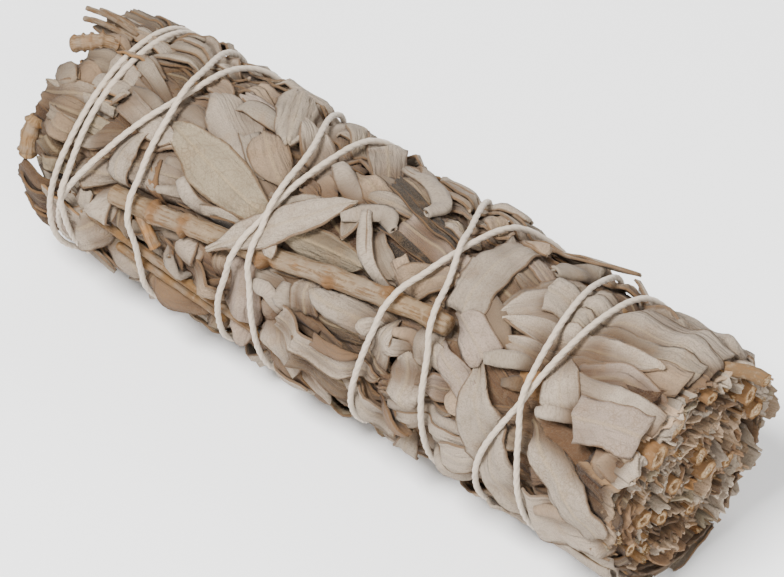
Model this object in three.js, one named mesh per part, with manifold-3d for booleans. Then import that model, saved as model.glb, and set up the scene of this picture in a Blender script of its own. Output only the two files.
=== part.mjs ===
// A dried sage bunch: leafy stems laid side by side and bound with crossing turns of string.
// Millimetres, +Z up. The bunch lies along X, its cut end at +X, resting on the plane z = 0.
// A place on it is given by x, by degrees round the axis (0 on top, growing towards -Y) and
// by its distance from the axis.
import * as THREE from 'three';
import { mergeVertices } from 'three/addons/utils/BufferGeometryUtils.js';
import Module from 'manifold-3d';

const wasm = await Module();
wasm.setup();

// Driving dimensions
const BUNCH_RADIUS = 17.5; // outside of the leaves, and the height of the axis
const CORE_RADIUS = 15.5; // packed stems and leaves under the outer leaves
const CORE_TIP_X = -50;
const CORE_CUT_X = 48;
const CORE_BUMP = 0.25;
const LEAF_LAYER = 0.8; // how much each leaf adds over the ones below it
const LEAF_BUILDUP = 2.2; // the most that the layers add up to once they are pressed together
const LEAF_THICKNESS = 0.9; // of a leaf's free end
const LEAF_ARCH = 0.35;
const STRING_DIAMETER = 1.15;
const STRING_RADIUS = 16.85; // from the axis to the middle of the string
const STRING_STEP = 22.5; // degrees between its bends
const STRING_LOOK = 3;
const STRING_LIFT_STEP = 0.3;
const GAP = 0.3; // between neighbouring pieces
const SLIVER = 0.003; // corners closer than this are one
const TWIG_DIAMETER = 3.2;
const TWIG_RADIUS = 15.6; // from the axis to the middle of the side twig
const LOW_TWIG_DIAMETER = 1.6;
const LOW_TWIG_RADIUS = 15.1;
const SHOOT_DIAMETER = 2;
const TIP_TWIG_DIAMETER = 3;
const TIP_TWIG_RADIUS = 14.6;
const STRING_ROOM = 1.2; // how much wider than the string its four-sided groove is, corner to corner
const TWIG_ROOM = 2.8 * GAP; // how much wider than a twig its room is
const BACK_LEAVES = 24;
const LEAF_SINK = 0.8; // how far a leaf goes into the core under it

const DEGREE = Math.PI / 180;
const ARC = BUNCH_RADIUS * DEGREE; // millimetres round the outside per degree

// A repeatable stand-in for chance
let seed = 19;
function random(low, high) {
  seed = (seed * 16807) % 2147483647;
  return low + (high - low) * (seed / 2147483647);
}

function place(x, degrees, radius) {
  const angle = degrees * DEGREE;
  return new THREE.Vector3(x, -radius * Math.sin(angle), BUNCH_RADIUS + radius * Math.cos(angle));
}

// A hill of height 1 at its middle
function hill(offset, reach) {
  return Math.exp(-((offset / reach) ** 2));
}

// Solids

function solid(geometry) {
  geometry.deleteAttribute('normal');
  geometry.deleteAttribute('uv');
  const merged = mergeVertices(geometry, 1e-4);
  return new wasm.Manifold(new wasm.Mesh({
    numProp: 3,
    vertProperties: Float32Array.from(merged.attributes.position.array),
    triVerts: Uint32Array.from(merged.index.array),
  }));
}

// The surface of a body, with corners closer together than SLIVER made one
function geometryOf(body) {
  const mesh = body.getMesh();
  const geometry = new THREE.BufferGeometry();
  geometry.setAttribute('position', new THREE.BufferAttribute(mesh.vertProperties, 3));
  geometry.setIndex(new THREE.BufferAttribute(mesh.triVerts, 1));
  const merged = mergeVertices(geometry, SLIVER);
  const corners = Array.from(merged.index.array);
  const kept = [];
  for (let i = 0; i < corners.length; i += 3) {
    const [a, b, c] = corners.slice(i, i + 3);
    if (a !== b && b !== c && c !== a) kept.push(a, b, c);
  }
  merged.setIndex(kept);
  return merged;
}

function joined(bodies) {
  return bodies.reduce((sum, body) => sum.add(body));
}

function largestPiece(body) {
  return body.decompose().reduce((best, piece) => (piece.volume() > best.volume() ? piece : best));
}

// A curve whose even steps are the points it is given
class PointCurve extends THREE.CatmullRomCurve3 {
  getUtoTmapping(u) {
    return u;
  }
}

function tube(points, diameter, sides) {
  const section = new THREE.Shape();
  for (let i = 0; i < sides; i++) {
    const angle = (2 * Math.PI * i) / sides;
    const x = (diameter / 2) * Math.cos(angle);
    const y = (diameter / 2) * Math.sin(angle);
    if (i === 0) section.moveTo(x, y);
    else section.lineTo(x, y);
  }
  const extrudePath = new PointCurve(points);
  const steps = points.length - 1;
  return solid(new THREE.ExtrudeGeometry(section, { steps, bevelEnabled: false, extrudePath }));
}

function rod(y, z, radius, from, to) {
  const geometry = new THREE.CylinderGeometry(radius, radius, to - from, 7);
  geometry.rotateZ(-Math.PI / 2);
  geometry.translate((from + to) / 2, y, z);
  return solid(geometry);
}

// Binding string: x of each turn at five places round the bunch, from the knot to the tip end
// and back over itself

const TURN_DEGREES = [-45, 0, 45, 90, 180];
const STRING_TURNS = [
  [33.4, 32.9, 31.5, 27.3, 24.6],
  [13.5, 11.4, 8.0, 6.0, 1.8],
  [-12.0, -13.0, -15.0, -17.6, -20.6],
  [-34.4, -35.4, -40.2, -46.2, -48.6],
  [-47.9, -47.0, -46.6, -47.7, -47.2],
  [-46.6, -45.7, -45.3, -45.0, -43.5],
  [-39.5, -35.9, -34.4, -32.0, -30.4],
  [-21.0, -15.6, -13.7, -11.6, -8.8],
  [5.2, 11.0, 15.6, 17.8, 19.0],
  [26.7, 29.2, 31.5, 34.1, 36.4],
];
const KNOT_X = 38;
const KNOT_DEGREES = 230;
const FIRST_DEGREES = KNOT_DEGREES - 360;
const LAST_DEGREES = 9 * 360 + KNOT_DEGREES;
const RETURN_DEGREES = 4 * 360 - 45; // where the string starts back over its first turns
const WINDING_OVERLAP = 4; // degrees that the two windings share
const OVER_LIFT = 1.05;
const OVER_REACH = 1.45;
const TWIG_LIFT = 1.45;
const TWIG_REACH = 2.4;
const TIP_PINCH = 0.7; // how much deeper the string lies at the tip end

const stringStops = [[FIRST_DEGREES, KNOT_X - 0.7]];
STRING_TURNS.forEach((turn, i) => {
  turn.forEach((x, k) => stringStops.push([i * 360 + TURN_DEGREES[k], x]));
});
stringStops.push([LAST_DEGREES, KNOT_X + 0.2]);

// x of the string after it has wound so many degrees, as a smooth curve through its stops
function stringX(wound) {
  let i = 0;
  while (i < stringStops.length - 2 && wound > stringStops[i + 1][0]) i++;
  const [a, from] = stringStops[i];
  const [b, to] = stringStops[i + 1];
  const slope = (low, high) => (stringStops[high][1] - stringStops[low][1])
    / (stringStops[high][0] - stringStops[low][0]);
  const start = slope(Math.max(i - 1, 0), i + 1) * (b - a);
  const end = slope(i, Math.min(i + 2, stringStops.length - 1)) * (b - a);
  const t = (wound - a) / (b - a);
  const fromWeight = 2 * t ** 3 - 3 * t ** 2 + 1;
  const startWeight = t ** 3 - 2 * t ** 2 + t;
  const endWeight = t ** 3 - t ** 2;
  return fromWeight * from + startWeight * start + (1 - fromWeight) * to + endWeight * end;
}

// Paths of the woody pieces that the string passes over, as x and degrees in turn
const SIDE_TWIG = [-38, 67.5, -34, 66, -28, 63, -22, 59, -12, 53, -4, 47, 4, 42, 12, 38, 16.5, 37];
const SIDE_SHOOT = [-34, 66, -32.5, 71, -30.5, 79, -29.5, 83];
const LOW_TWIGS = [
  [-42, 88, -32, 92.5, -21, 98, -10, 104],
  [-37, 101, -27, 104, -18, 110],
];
const TIP_TWIG = [-53.8, 54, -54, 66, -53.6, 78];

function twigPoints(path, radius) {
  const points = [];
  for (let i = 0; i < path.length; i += 2) points.push(place(path[i], path[i + 1], radius));
  return points;
}

const twigCurve = new THREE.CatmullRomCurve3(twigPoints(SIDE_TWIG, TWIG_RADIUS));
const twigAxis = twigCurve.getPoints(60);

// How far the string is lifted off the leaves where it crosses itself or the side twig
function stringLift(wound) {
  const x = stringX(wound);
  let lift = 0;
  if (wound > RETURN_DEGREES) {
    for (let below = wound - 360; below > FIRST_DEGREES; below -= 360) {
      if (below < RETURN_DEGREES) {
        const fade = THREE.MathUtils.smoothstep(RETURN_DEGREES - below, 0, 90);
        lift = Math.max(lift, fade * OVER_LIFT * hill(x - stringX(below), OVER_REACH));
      }
    }
  }
  const spot = place(x, wound, TWIG_RADIUS);
  const apart = Math.min(...twigAxis.map((point) => point.distanceTo(spot)));
  return Math.max(lift, TWIG_LIFT * hill(Math.max(apart - 0.8, 0), TWIG_REACH));
}

function stringPoint(wound) {
  const x = stringX(wound);
  const pinch = TIP_PINCH * THREE.MathUtils.smoothstep(-x, 40, 48);
  return place(x, wound, STRING_RADIUS - pinch + stringLift(wound));
}

// Points of the string, closer together where it is lifted
function stringLength(fromDegrees, toDegrees) {
  const points = [stringPoint(fromDegrees)];
  let last = fromDegrees;
  for (let wound = fromDegrees; wound < toDegrees; wound += STRING_LOOK) {
    const change = Math.abs(stringLift(wound) - stringLift(last));
    if (wound - last >= STRING_STEP || change > STRING_LIFT_STEP) {
      points.push(stringPoint(wound));
      last = wound;
    }
  }
  points.push(stringPoint(toDegrees));
  return points;
}

const windingOut = stringLength(FIRST_DEGREES, RETURN_DEGREES + WINDING_OVERLAP);
const windingBack = stringLength(RETURN_DEGREES - WINDING_OVERLAP, LAST_DEGREES);
const KNOT_TAILS = [
  [[38, 230, 17.9], [42, 224, 17.9], [46.5, 220, 17.6]],
  [[38, 230, 17.9], [34, 236, 18.0], [29.5, 241, 17.9]],
];
const knotTails = KNOT_TAILS.map((tail) => tail.map((stop) => place(...stop)));

function stringBody(diameter, sides, lengths) {
  const bodies = lengths.map((points) => tube(points, diameter, sides));
  const knot = new THREE.SphereGeometry(diameter * 1.25, 8, 6);
  knot.translate(...place(KNOT_X, KNOT_DEGREES, STRING_RADIUS + 0.6).toArray());
  bodies.push(solid(knot));
  return joined(bodies);
}

// Leaves. Each is its form and width, then x and degrees of two or more places along it.
// A later leaf lies over an earlier one.

const LEAVES = [
  // Tip end, on top
  ['flat', 8, -55, -14, -33, -20],
  ['flat', 9, -50, -38, -33, -30],
  ['flat', 7, -50, 12, -42, 9],
  ['flat', 4.5, -54, -6, -46, -7],
  ['flat', 4, -53.5, 14, -48, 18],
  ['roll', 2.5, -53, 22, -46, 24],
  ['flat', 5, -54, 26, -49, 32],
  ['roll', 2.6, -44, 15, -33, 21],
  ['flat', 4, -43, 24, -32, 30],
  // Tip end, on the side
  ['flat', 4.5, -53.8, 36, -45.5, 31],
  ['flat', 5, -45.5, 50, -40, 36],
  ['flat', 6, -55, 88, -46, 95],
  ['flat', 5, -53, 99, -46, 104],
  ['flat', 3.5, -51, 62, -44, 71],
  ['flat', 7, -37, 86, -46, 110],
  ['flat', 5, -44, 68, -38, 56],
  ['flat', 4, -40, 70, -37, 84],
  ['roll', 3, -36.3, 30, -37.5, 48, -36.2, 64],
  // Between the tip end and the middle, on top
  ['flat', 7.5, -34, -5, -20, 22],
  ['flat', 6, -24, 1, -15, 20],
  ['flat', 6, -27, -45, -18, 3],
  ['flat', 5, -22, -20, -9, 6],
  ['flat', 5, -19, -48, -9, -19],
  ['flat', 6, -13, -45, -3, -8],
  ['roll', 2.8, -12, -5, -7, 3, -3, -3],
  ['flat', 7, -36, 21, -13, 38],
  ['flat', 5, -14, 40, 2, 33],
  ['roll', 2.2, -32, 39, -28, 38, -27.5, 47, -31, 52],
  ['roll', 2.5, -28, 42, -24, 49, -18, 43],
  // Between the tip end and the middle, on the side
  ['flat', 6, -31, 84, -22, 96],
  ['flat', 5, -24, 78, -17, 90],
  ['flat', 4, -24, 66, -23.5, 80],
  ['flat', 5.5, -14.5, 61, -15.5, 115],
  ['flat', 6, -8, 86, -4, 112],
  ['roll', 2.2, -12.5, 70, -10, 67, -7.5, 76],
  ['flat', 4.5, -5.5, 55, -4, 69],
  // Middle, on top
  ['flat', 3.5, -2, -11, 12, 2],
  ['flat', 4.5, 0, 5, 14, 9],
  ['flat', 3.5, 0, 14, 11, 19],
  ['roll', 2.6, -5, -27, 0, -22, 4, -14, 4, -3],
  ['flat', 4, 4, -30, 14, -19],
  ['roll', 2.5, -5, 20, -1, 8, 2, 13],
  ['flat', 3.5, 2, 20, 8, 31],
  ['flat', 5, 8, 29, 14, 14],
  ['flat', 6, 17.5, 27, 17.5, -27],
  // Middle, on the side
  ['flat', 6, -4, 90, 9, 102],
  ['flat', 4.5, -7, 77, 1, 84, 9, 80],
  ['flat', 4, -2.5, 68, 8, 61],
  ['flat', 4, -3.5, 56, 9, 54],
  ['flat', 4, 14, 45, 17, 60],
  ['flat', 6, 14.5, 61, 14, 78],
  ['flat', 4, 17, 68, 23, 60],
  ['roll', 2.5, 12, 88, 26, 76],
  ['flat', 6, 19, 95, 30, 89],
  // Cut end, on top
  ['flat', 7, 21, 27, 29, -25],
  ['flat', 6, 21, 25, 31, -15],
  ['roll', 4, 24, -46, 23, -15],
  ['flat', 5.5, 22, 27, 42, 11],
  ['flat', 10, 34, -46, 49, -30],
  ['flat', 11, 26, 14, 36, -2, 49.5, -14],
  ['flat', 3.5, 36, 26, 42, 16, 49.5, 20],
  // Cut end, on the side
  ['flat', 5, 16, 28, 23.5, 41],
  ['roll', 2.8, 24, 41, 30, 31],
  ['roll', 2.8, 27, 47, 33, 36],
  ['flat', 5, 35, 29, 37, 44],
  ['flat', 6, 39, 43, 50, 35],
  ['flat', 8, 36.5, 103, 51, 86],
  ['flat', 6, 37, 112, 50, 114],
  ['flat', 4.5, 47.5, 55, 48, 77],
  ['flat', 4, 45, 72, 50.5, 83],
  ['flat', 4.5, 33.5, 50, 45.5, 67],
  ['flat', 5, 32, 56, 40, 75, 47, 91],
  ['flat', 6.5, 23, 42, 28, 78, 34, 112],
  // Underneath, where the bunch rests
  ['flat', 8.2, 19, 178, 3, 182],
  ['flat', 8.2, 38, 183, 25, 179],
  ['flat', 8.2, -7, 181, -21, 177],
  ['flat', 8.2, -29, 180, -43, 183],
];

// How high the leaves lie so far, on a coarse chart of the bunch's outside
const CHART_STEP_X = 2;
const CHART_STEP_DEGREES = 6;
const FAR_SIDE_DEGREES = 210;
const FAR_SIDE_HEIGHT = 0.9;
const chart = new Map();

function chartKey(x, degrees) {
  const turn = ((Math.round(degrees / CHART_STEP_DEGREES) % 60) + 60) % 60;
  return `${Math.round(x / CHART_STEP_X)} ${turn}`;
}

// The far side is packed fuller, under fewer outer leaves
function heightAt(x, degrees) {
  const fromFarSide = Math.abs(THREE.MathUtils.euclideanModulo(degrees, 360) - FAR_SIDE_DEGREES);
  const packed = 1 - THREE.MathUtils.smoothstep(fromFarSide, 75, 100);
  return chart.get(chartKey(x, degrees)) ?? FAR_SIDE_HEIGHT * packed;
}

function raiseTo(x, degrees, height) {
  chart.set(chartKey(x, degrees), Math.max(heightAt(x, degrees), height));
}

// The low side, where the bunch rests, is pressed flat and bulges beside that
const SEAT_BULGE = 1;
const SEAT_DEGREES = 30;
const TIP_ROUNDING = 3.2;
const CUT_ROUNDING = 0.7;
const HOLLOW_DEPTH = 1.2;

// The ends of the bunch are rounded, and one place on its far side is pressed in
function coreRadius(x, degrees) {
  const fromBottom = THREE.MathUtils.euclideanModulo(degrees, 360) - 180;
  const tip = THREE.MathUtils.smoothstep(-x, 40, 52) * TIP_ROUNDING;
  const cut = THREE.MathUtils.smoothstep(x, 42, 50) * CUT_ROUNDING;
  const hollow = HOLLOW_DEPTH * hill(x - 18, 5) * hill(fromBottom - 130, 16);
  const seat = SEAT_BULGE * (1 - THREE.MathUtils.smoothstep(Math.abs(x), 36, 44));
  return CORE_RADIUS - tip - cut - hollow + seat * hill(fromBottom, SEAT_DEGREES);
}

// The layers are pressed together, more so the higher they lie
function pressed(height) {
  return LEAF_BUILDUP * Math.tanh(height / (LEAF_BUILDUP * 1.15));
}

const LEAF_SPAN = 7; // length of a leaf between its bends
const WIDE_LEAF = 7.9; // wider leaves are arched

// Width along a leaf, as a share of its greatest width
function leafWidth(t) {
  return 0.25 + 0.75 * Math.sin(Math.PI * (0.2 + 0.8 * t)) ** 0.6;
}

// A leaf is a box bent over the bunch, with its width, arch and height set along its path
function leaf([form, width, ...path]) {
  const stops = [];
  for (let i = 0; i < path.length; i += 2) {
    stops.push(new THREE.Vector2(path[i], path[i + 1] * ARC));
  }
  const curve = new THREE.SplineCurve(stops);
  const rolled = form === 'roll';
  const spans = THREE.MathUtils.clamp(Math.round(curve.getLength() / LEAF_SPAN), 2, 5);
  const columns = width > WIDE_LEAF || rolled ? 2 : 1;
  const stations = [];
  for (let i = 0; i <= spans; i++) {
    const t = i / spans;
    const share = leafWidth(t);
    const middle = curve.getPoint(t);
    const tangent = curve.getTangent(t);
    const across = new THREE.Vector2(tangent.y, -tangent.x);
    const wide = width * (rolled ? 0.6 + 0.4 * share : share) * random(0.94, 1.06);
    let height = 0;
    for (const side of [-0.45, 0, 0.45]) {
      const spot = middle.clone().addScaledVector(across, side * wide);
      height = Math.max(height, heightAt(spot.x, spot.y / ARC));
    }
    height += LEAF_LAYER * (rolled ? 1.8 : 1);
    stations.push({ middle, across, wide, height });
  }
  stations[0].height = Math.max(stations[0].height - 2 * LEAF_LAYER, LEAF_LAYER / 2);
  stations.forEach(({ middle, across, wide, height }) => {
    for (const side of [-0.4, -0.2, 0, 0.2, 0.4]) {
      const spot = middle.clone().addScaledVector(across, side * wide);
      raiseTo(spot.x, spot.y / ARC, height);
    }
  });

  const geometry = new THREE.BoxGeometry(2, 2, spans, columns, 1, spans);
  const position = geometry.attributes.position;
  for (let i = 0; i < position.count; i++) {
    const side = position.getX(i);
    const top = position.getY(i) > 0;
    const index = Math.round(position.getZ(i) + spans / 2);
    const { middle, across, wide, height } = stations[index];
    const spot = middle.clone().addScaledVector(across, (side * wide) / 2);
    const degrees = spot.y / ARC;
    const core = coreRadius(spot.x, degrees);
    const arch = (rolled ? 2.4 : 1) * LEAF_ARCH * side * side;
    const topRadius = core + pressed(height) - arch;
    const free = spot.x < CORE_TIP_X + 1 || spot.x > CORE_CUT_X - 1;
    const bottomRadius = free ? topRadius - LEAF_THICKNESS : core - LEAF_SINK;
    position.setXYZ(i, ...place(spot.x, degrees, top ? topRadius : bottomRadius).toArray());
  }
  return solid(geometry);
}

const BACK_COLUMNS = 5;
const BACK_START = 118; // degrees, just past the last leaf on the side
const BACK_SPAN = 188;

function backLeaves() {
  const leaves = [];
  const rows = Math.ceil(BACK_LEAVES / BACK_COLUMNS);
  for (let i = 0; i < BACK_LEAVES; i++) {
    const row = i % rows;
    const column = Math.floor(i / rows);
    const x = CORE_CUT_X + 1 - (row * 91) / (rows - 0.4) + random(-2, 2);
    const degrees = BACK_START + (BACK_SPAN * (column + random(0.1, 0.9))) / BACK_COLUMNS;
    const length = random(15, 21);
    const slant = random(-26, 26);
    const end = Math.max(x - length, -54.5);
    leaves.push(['flat', random(6.5, 9), x, degrees, end, degrees + slant]);
  }
  return leaves;
}

// Leaf tips that close the tip end, between the axis and the outside
const TIP_LEAVES = 13;

function tipLeaf(ring, middle, wide, end) {
  const geometry = new THREE.BoxGeometry(2, 2, 2, 1, 1, 2);
  const position = geometry.attributes.position;
  for (let i = 0; i < position.count; i++) {
    const along = (position.getZ(i) + 1) / 2;
    const narrowed = wide * (1 - 0.5 * along * along);
    const degrees = middle + (position.getX(i) * narrowed) / 2 / ring / DEGREE;
    const radius = ring + (position.getY(i) * LEAF_THICKNESS) / 2 - 1.5 * along * along;
    const x = THREE.MathUtils.lerp(CORE_TIP_X + 3, end, along);
    position.setXYZ(i, ...place(x, degrees, radius).toArray());
  }
  return solid(geometry);
}

function tipLeaves() {
  const bodies = [];
  for (let i = 0; i < TIP_LEAVES; i++) {
    const ring = i % 3 === 0 ? random(4, 6) : random(8.5, 10.8);
    const middle = (360 * i) / TIP_LEAVES + random(-10, 10);
    bodies.push(tipLeaf(ring, middle, random(4.5, 6.5), random(-55, -52.5)));
  }
  return bodies;
}

// Cut stems: y and z of the axis, radius, and x of the hidden and the cut end
const STEMS = [
  [-8.5, 27.8, 1.75, 20, 50.6],
  [-4.0, 29.7, 1.6, -20, 50.2],
  [9.4, 25.6, 1.3, -30, 51.6],
  [1.9, 30.6, 1.0, -8, 50.9],
  [0.8, 20.2, 1.2, -36, 50.4],
  [-3.8, 18, 1.3, -40, 49.8],
  [8, 13, 1.2, -16, 49.6],
  [3, 15.4, 1.5, -34, 50.0],
  [-10.3, 16.8, 1.3, -26, 49.9],
  [-5.5, 12.8, 1.1, -14, 49.2],
  [-8.8, 9.6, 0.9, -10, 49.0],
  [-12.3, 12.6, 1.1, -4, 49.4],
  [1, 9, 1.0, -30, 48.9],
  [12.8, 19, 1.2, -24, 50.2],
];
const CUT_STICK = [6.6, 30.0, 0.95, 12, 55.2];

// Leaf edges that show at the cut end, as wavy ribbons round the axis and round the stems:
// y and z of the centre, mean radius, start and span in degrees, and x of the edge
const RIBBONS = [
  [0, 17.5, 13.6, 40, 75, 50.4],
  [0, 17.5, 13.2, 130, 70, 50.0],
  [0, 17.5, 13.7, 215, 60, 49.4],
  [0, 17.5, 13.2, 290, 80, 49.8],
  [0, 17.5, 10.2, 20, 60, 50.3],
  [0, 17.5, 9.8, 100, 50, 50.6],
  [0, 17.5, 10.0, 190, 70, 49.5],
  [0, 17.5, 6.6, 60, 90, 50.4],
  [0, 17.5, 6.4, 220, 80, 49.6],
  [0.8, 20.2, 2.5, 160, 200, 50.0],
  [3, 15.4, 2.8, 20, 190, 49.9],
  [-8.5, 27.8, 3.0, 60, 180, 50.3],
];
const RIBBON_THICKNESS = 0.8;
const RIBBON_POINTS = 6;

function ribbon([y, z, mean, start, span, edge]) {
  const outline = [];
  for (const half of [-0.5, 0.5]) {
    for (let i = 0; i < RIBBON_POINTS; i++) {
      const share = half < 0 ? i / (RIBBON_POINTS - 1) : 1 - i / (RIBBON_POINTS - 1);
      const angle = (start + span * share) * DEGREE;
      const radius = mean + half * RIBBON_THICKNESS + 0.05 * mean * Math.sin(9 * share + start);
      outline.push(new THREE.Vector2(radius * Math.cos(angle), radius * Math.sin(angle)));
    }
  }
  const depth = edge - CORE_CUT_X + 2;
  const geometry = new THREE.ExtrudeGeometry(new THREE.Shape(outline.reverse()), {
    depth, bevelEnabled: false,
  });
  geometry.rotateX(Math.PI / 2);
  geometry.rotateZ(Math.PI / 2);
  geometry.translate(edge - depth, y, z);
  return solid(geometry);
}

function core() {
  const length = CORE_CUT_X - CORE_TIP_X;
  const geometry = new THREE.CylinderGeometry(1, 1, length, 18, 7);
  geometry.rotateZ(-Math.PI / 2);
  geometry.deleteAttribute('normal');
  geometry.deleteAttribute('uv');
  const merged = mergeVertices(geometry, 1e-4);
  const position = merged.attributes.position;
  for (let i = 0; i < position.count; i++) {
    const x = position.getX(i) + (CORE_TIP_X + CORE_CUT_X) / 2;
    const reach = Math.hypot(position.getY(i), position.getZ(i));
    const degrees = Math.atan2(-position.getY(i), position.getZ(i)) / DEGREE;
    const bump = reach > 0.5 ? random(-CORE_BUMP, CORE_BUMP) : 0;
    position.setXYZ(i, ...place(x, degrees, reach * (coreRadius(x, degrees) + bump)).toArray());
  }
  return solid(merged);
}

// Pieces

const group = new THREE.Group();

function addPiece(name, body, color, roughness) {
  const material = new THREE.MeshStandardMaterial({ color, roughness, metalness: 0 });
  const mesh = new THREE.Mesh(geometryOf(body), material);
  mesh.name = name;
  group.add(mesh);
}

// Each twig, or the room left for it in the leaves
function twigBodies(extra) {
  const side = tube(twigPoints(SIDE_TWIG, TWIG_RADIUS), TWIG_DIAMETER + extra, 7);
  const shoot = tube(twigPoints(SIDE_SHOOT, TWIG_RADIUS), SHOOT_DIAMETER + extra, 6);
  const low = LOW_TWIGS.map((path) => (
    tube(twigPoints(path, LOW_TWIG_RADIUS), LOW_TWIG_DIAMETER + extra, 6)));
  const tip = tube(twigPoints(TIP_TWIG, TIP_TWIG_RADIUS), TIP_TWIG_DIAMETER + extra, 7);
  return [side.add(shoot), ...low, tip];
}

const leaves = [...backLeaves(), ...LEAVES].map(leaf);
let bunch = joined([core(), ...leaves, ...tipLeaves(), ...RIBBONS.map(ribbon)]);
const aboveGround = new THREE.BoxGeometry(140, 60, 60);
aboveGround.translate(0, 0, 30);
bunch = bunch.intersect(solid(aboveGround));
for (const [y, z, radius, from] of [...STEMS, CUT_STICK]) {
  bunch = bunch.subtract(rod(y, z, radius + GAP, from - GAP, 60));
}
for (const room of twigBodies(TWIG_ROOM)) bunch = bunch.subtract(room);
const windings = [windingOut, windingBack];
bunch = bunch.subtract(stringBody(STRING_DIAMETER + STRING_ROOM, 4, windings));
bunch = largestPiece(bunch);

addPiece('leaf_bunch', bunch, '#b4aa98', 0.95);
const wholeString = stringBody(STRING_DIAMETER, 6, [...windings, ...knotTails]);
addPiece('binding_string', wholeString, '#e1d9cf', 0.9);
STEMS.forEach(([y, z, radius, from, to], i) => {
  const name = `stem_${String(i + 1).padStart(2, '0')}`;
  addPiece(name, rod(y, z, radius, from, to), '#be9b73', 0.85);
});
addPiece('cut_stick', rod(...CUT_STICK), '#c08f5c', 0.8);
const [sideTwig, lowTwig1, lowTwig2, tipTwig] = twigBodies(0);
addPiece('side_twig', sideTwig, '#9a8668', 0.85);
addPiece('low_twig_1', lowTwig1, '#8a6a4a', 0.85);
addPiece('low_twig_2', lowTwig2, '#8a6a4a', 0.85);
addPiece('tip_twig', tipTwig, '#b09878', 0.85);

export default group;
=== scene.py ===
"""A dried sage bunch bound with cotton string: its leaves, stems, twigs and string."""

import math

import bmesh
import bpy
import numpy as np
from mathutils import Matrix, Vector


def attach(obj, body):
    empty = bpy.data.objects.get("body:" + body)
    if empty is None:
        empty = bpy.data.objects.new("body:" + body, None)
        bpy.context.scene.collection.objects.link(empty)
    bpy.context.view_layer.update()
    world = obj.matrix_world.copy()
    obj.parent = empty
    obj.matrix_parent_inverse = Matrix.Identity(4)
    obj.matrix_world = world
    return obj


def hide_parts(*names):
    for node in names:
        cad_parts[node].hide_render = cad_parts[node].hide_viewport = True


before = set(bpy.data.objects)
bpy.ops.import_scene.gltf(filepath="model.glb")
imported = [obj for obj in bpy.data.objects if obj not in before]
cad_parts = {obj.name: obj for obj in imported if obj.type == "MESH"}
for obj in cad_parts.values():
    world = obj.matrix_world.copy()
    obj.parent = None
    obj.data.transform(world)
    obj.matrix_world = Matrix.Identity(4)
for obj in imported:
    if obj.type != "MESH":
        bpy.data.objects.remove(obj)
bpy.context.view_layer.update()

bl_info = {
    "name": "Dried sage bunch",
    "version": (1, 0, 0),
    "blender": (4, 5, 0),
    "location": "View3D > Sidebar > Sage",
    "description": "Builds a dried sage bunch bound with cotton string",
    "category": "Object",
}

# Places on the bunch are given in millimetres along x, in degrees round the axis (0 on top,
# growing towards -Y) and in millimetres from the axis.
MM = 0.001
BUNCH_RADIUS = 17.5
ARC = BUNCH_RADIUS * math.pi / 180  # millimetres round the outside per degree
INNER_RADIUS = 13.2
CUT_X = 49.8
TIP_X = -55.0


def place(x, degrees, radius):
    """The point, in metres, at a place on the bunch; arrays give an array of points."""
    angle = np.radians(degrees)
    y = -radius * np.sin(angle)
    z = BUNCH_RADIUS + radius * np.cos(angle)
    return np.stack(np.broadcast_arrays(x, y, z), axis=-1) * MM


def smoothstep(value, low, high):
    """0 below low and 1 above high, smoothly in between."""
    t = np.clip((value - low) / (high - low), 0.0, 1.0)
    return t * t * (3 - 2 * t)


def hill(offset, reach):
    """1 where the offset is 0, falling off smoothly over the reach."""
    return np.exp(-((offset / reach) ** 2))


def linear(colour):
    """An sRGB colour such as "#b9ad9b" as linear red, green and blue."""
    channels = [int(colour[i:i + 2], 16) / 255 for i in (1, 3, 5)]
    return tuple(c / 12.92 if c <= 0.04045 else ((c + 0.055) / 1.055) ** 2.4 for c in channels)


# Binding string: x of each turn at five places round the bunch, from the knot to the tip end
# and back over itself
TURN_DEGREES = [-45, 0, 45, 90, 180]
STRING_TURNS = [
    [33.4, 32.9, 31.5, 27.3, 24.6],
    [13.5, 11.4, 8.0, 6.0, 1.8],
    [-12.0, -13.0, -15.0, -17.6, -20.6],
    [-34.4, -35.4, -40.2, -46.2, -48.6],
    [-47.9, -47.0, -46.6, -47.7, -47.2],
    [-46.6, -45.7, -45.3, -45.0, -43.5],
    [-39.5, -35.9, -34.4, -32.0, -30.4],
    [-21.0, -15.6, -13.7, -11.6, -8.8],
    [5.2, 11.0, 15.6, 17.8, 19.0],
    [26.7, 29.2, 31.5, 34.1, 36.4],
]
KNOT_X = 38
KNOT_DEGREES = 230
FIRST_DEGREES = KNOT_DEGREES - 360
LAST_DEGREES = 9 * 360 + KNOT_DEGREES
RETURN_DEGREES = 4 * 360 - 45
STRING_RADIUS = 16.85  # from the axis to the middle of the string
OVER_LIFT = 1.05  # how far it rises where it crosses itself
OVER_REACH = 1.45
TWIG_LIFT = 1.45  # how far it rises over the side twig
TWIG_REACH = 2.4
TIP_PINCH = 0.7  # how much closer it is drawn at the tip end

# Twigs: x and degrees of the places that they run through
SIDE_TWIG = [(-38, 67.5), (-34, 66), (-28, 63), (-22, 59), (-12, 53), (-4, 47), (4, 42),
             (12, 38), (16.5, 37)]
SIDE_SHOOT = [(-34, 66), (-32.5, 71), (-30.5, 79), (-29.5, 83)]
TWIG_RADIUS = 15.6
LOW_TWIGS = [
    [(-42, 88), (-32, 92.5), (-21, 98), (-10, 104)],
    [(-37, 101), (-27, 104), (-18, 110)],
]
LOW_TWIG_RADIUS = 15.1
TIP_TWIG = [(-53.8, 54), (-54, 66), (-53.6, 78)]
TIP_TWIG_RADIUS = 14.6


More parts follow.
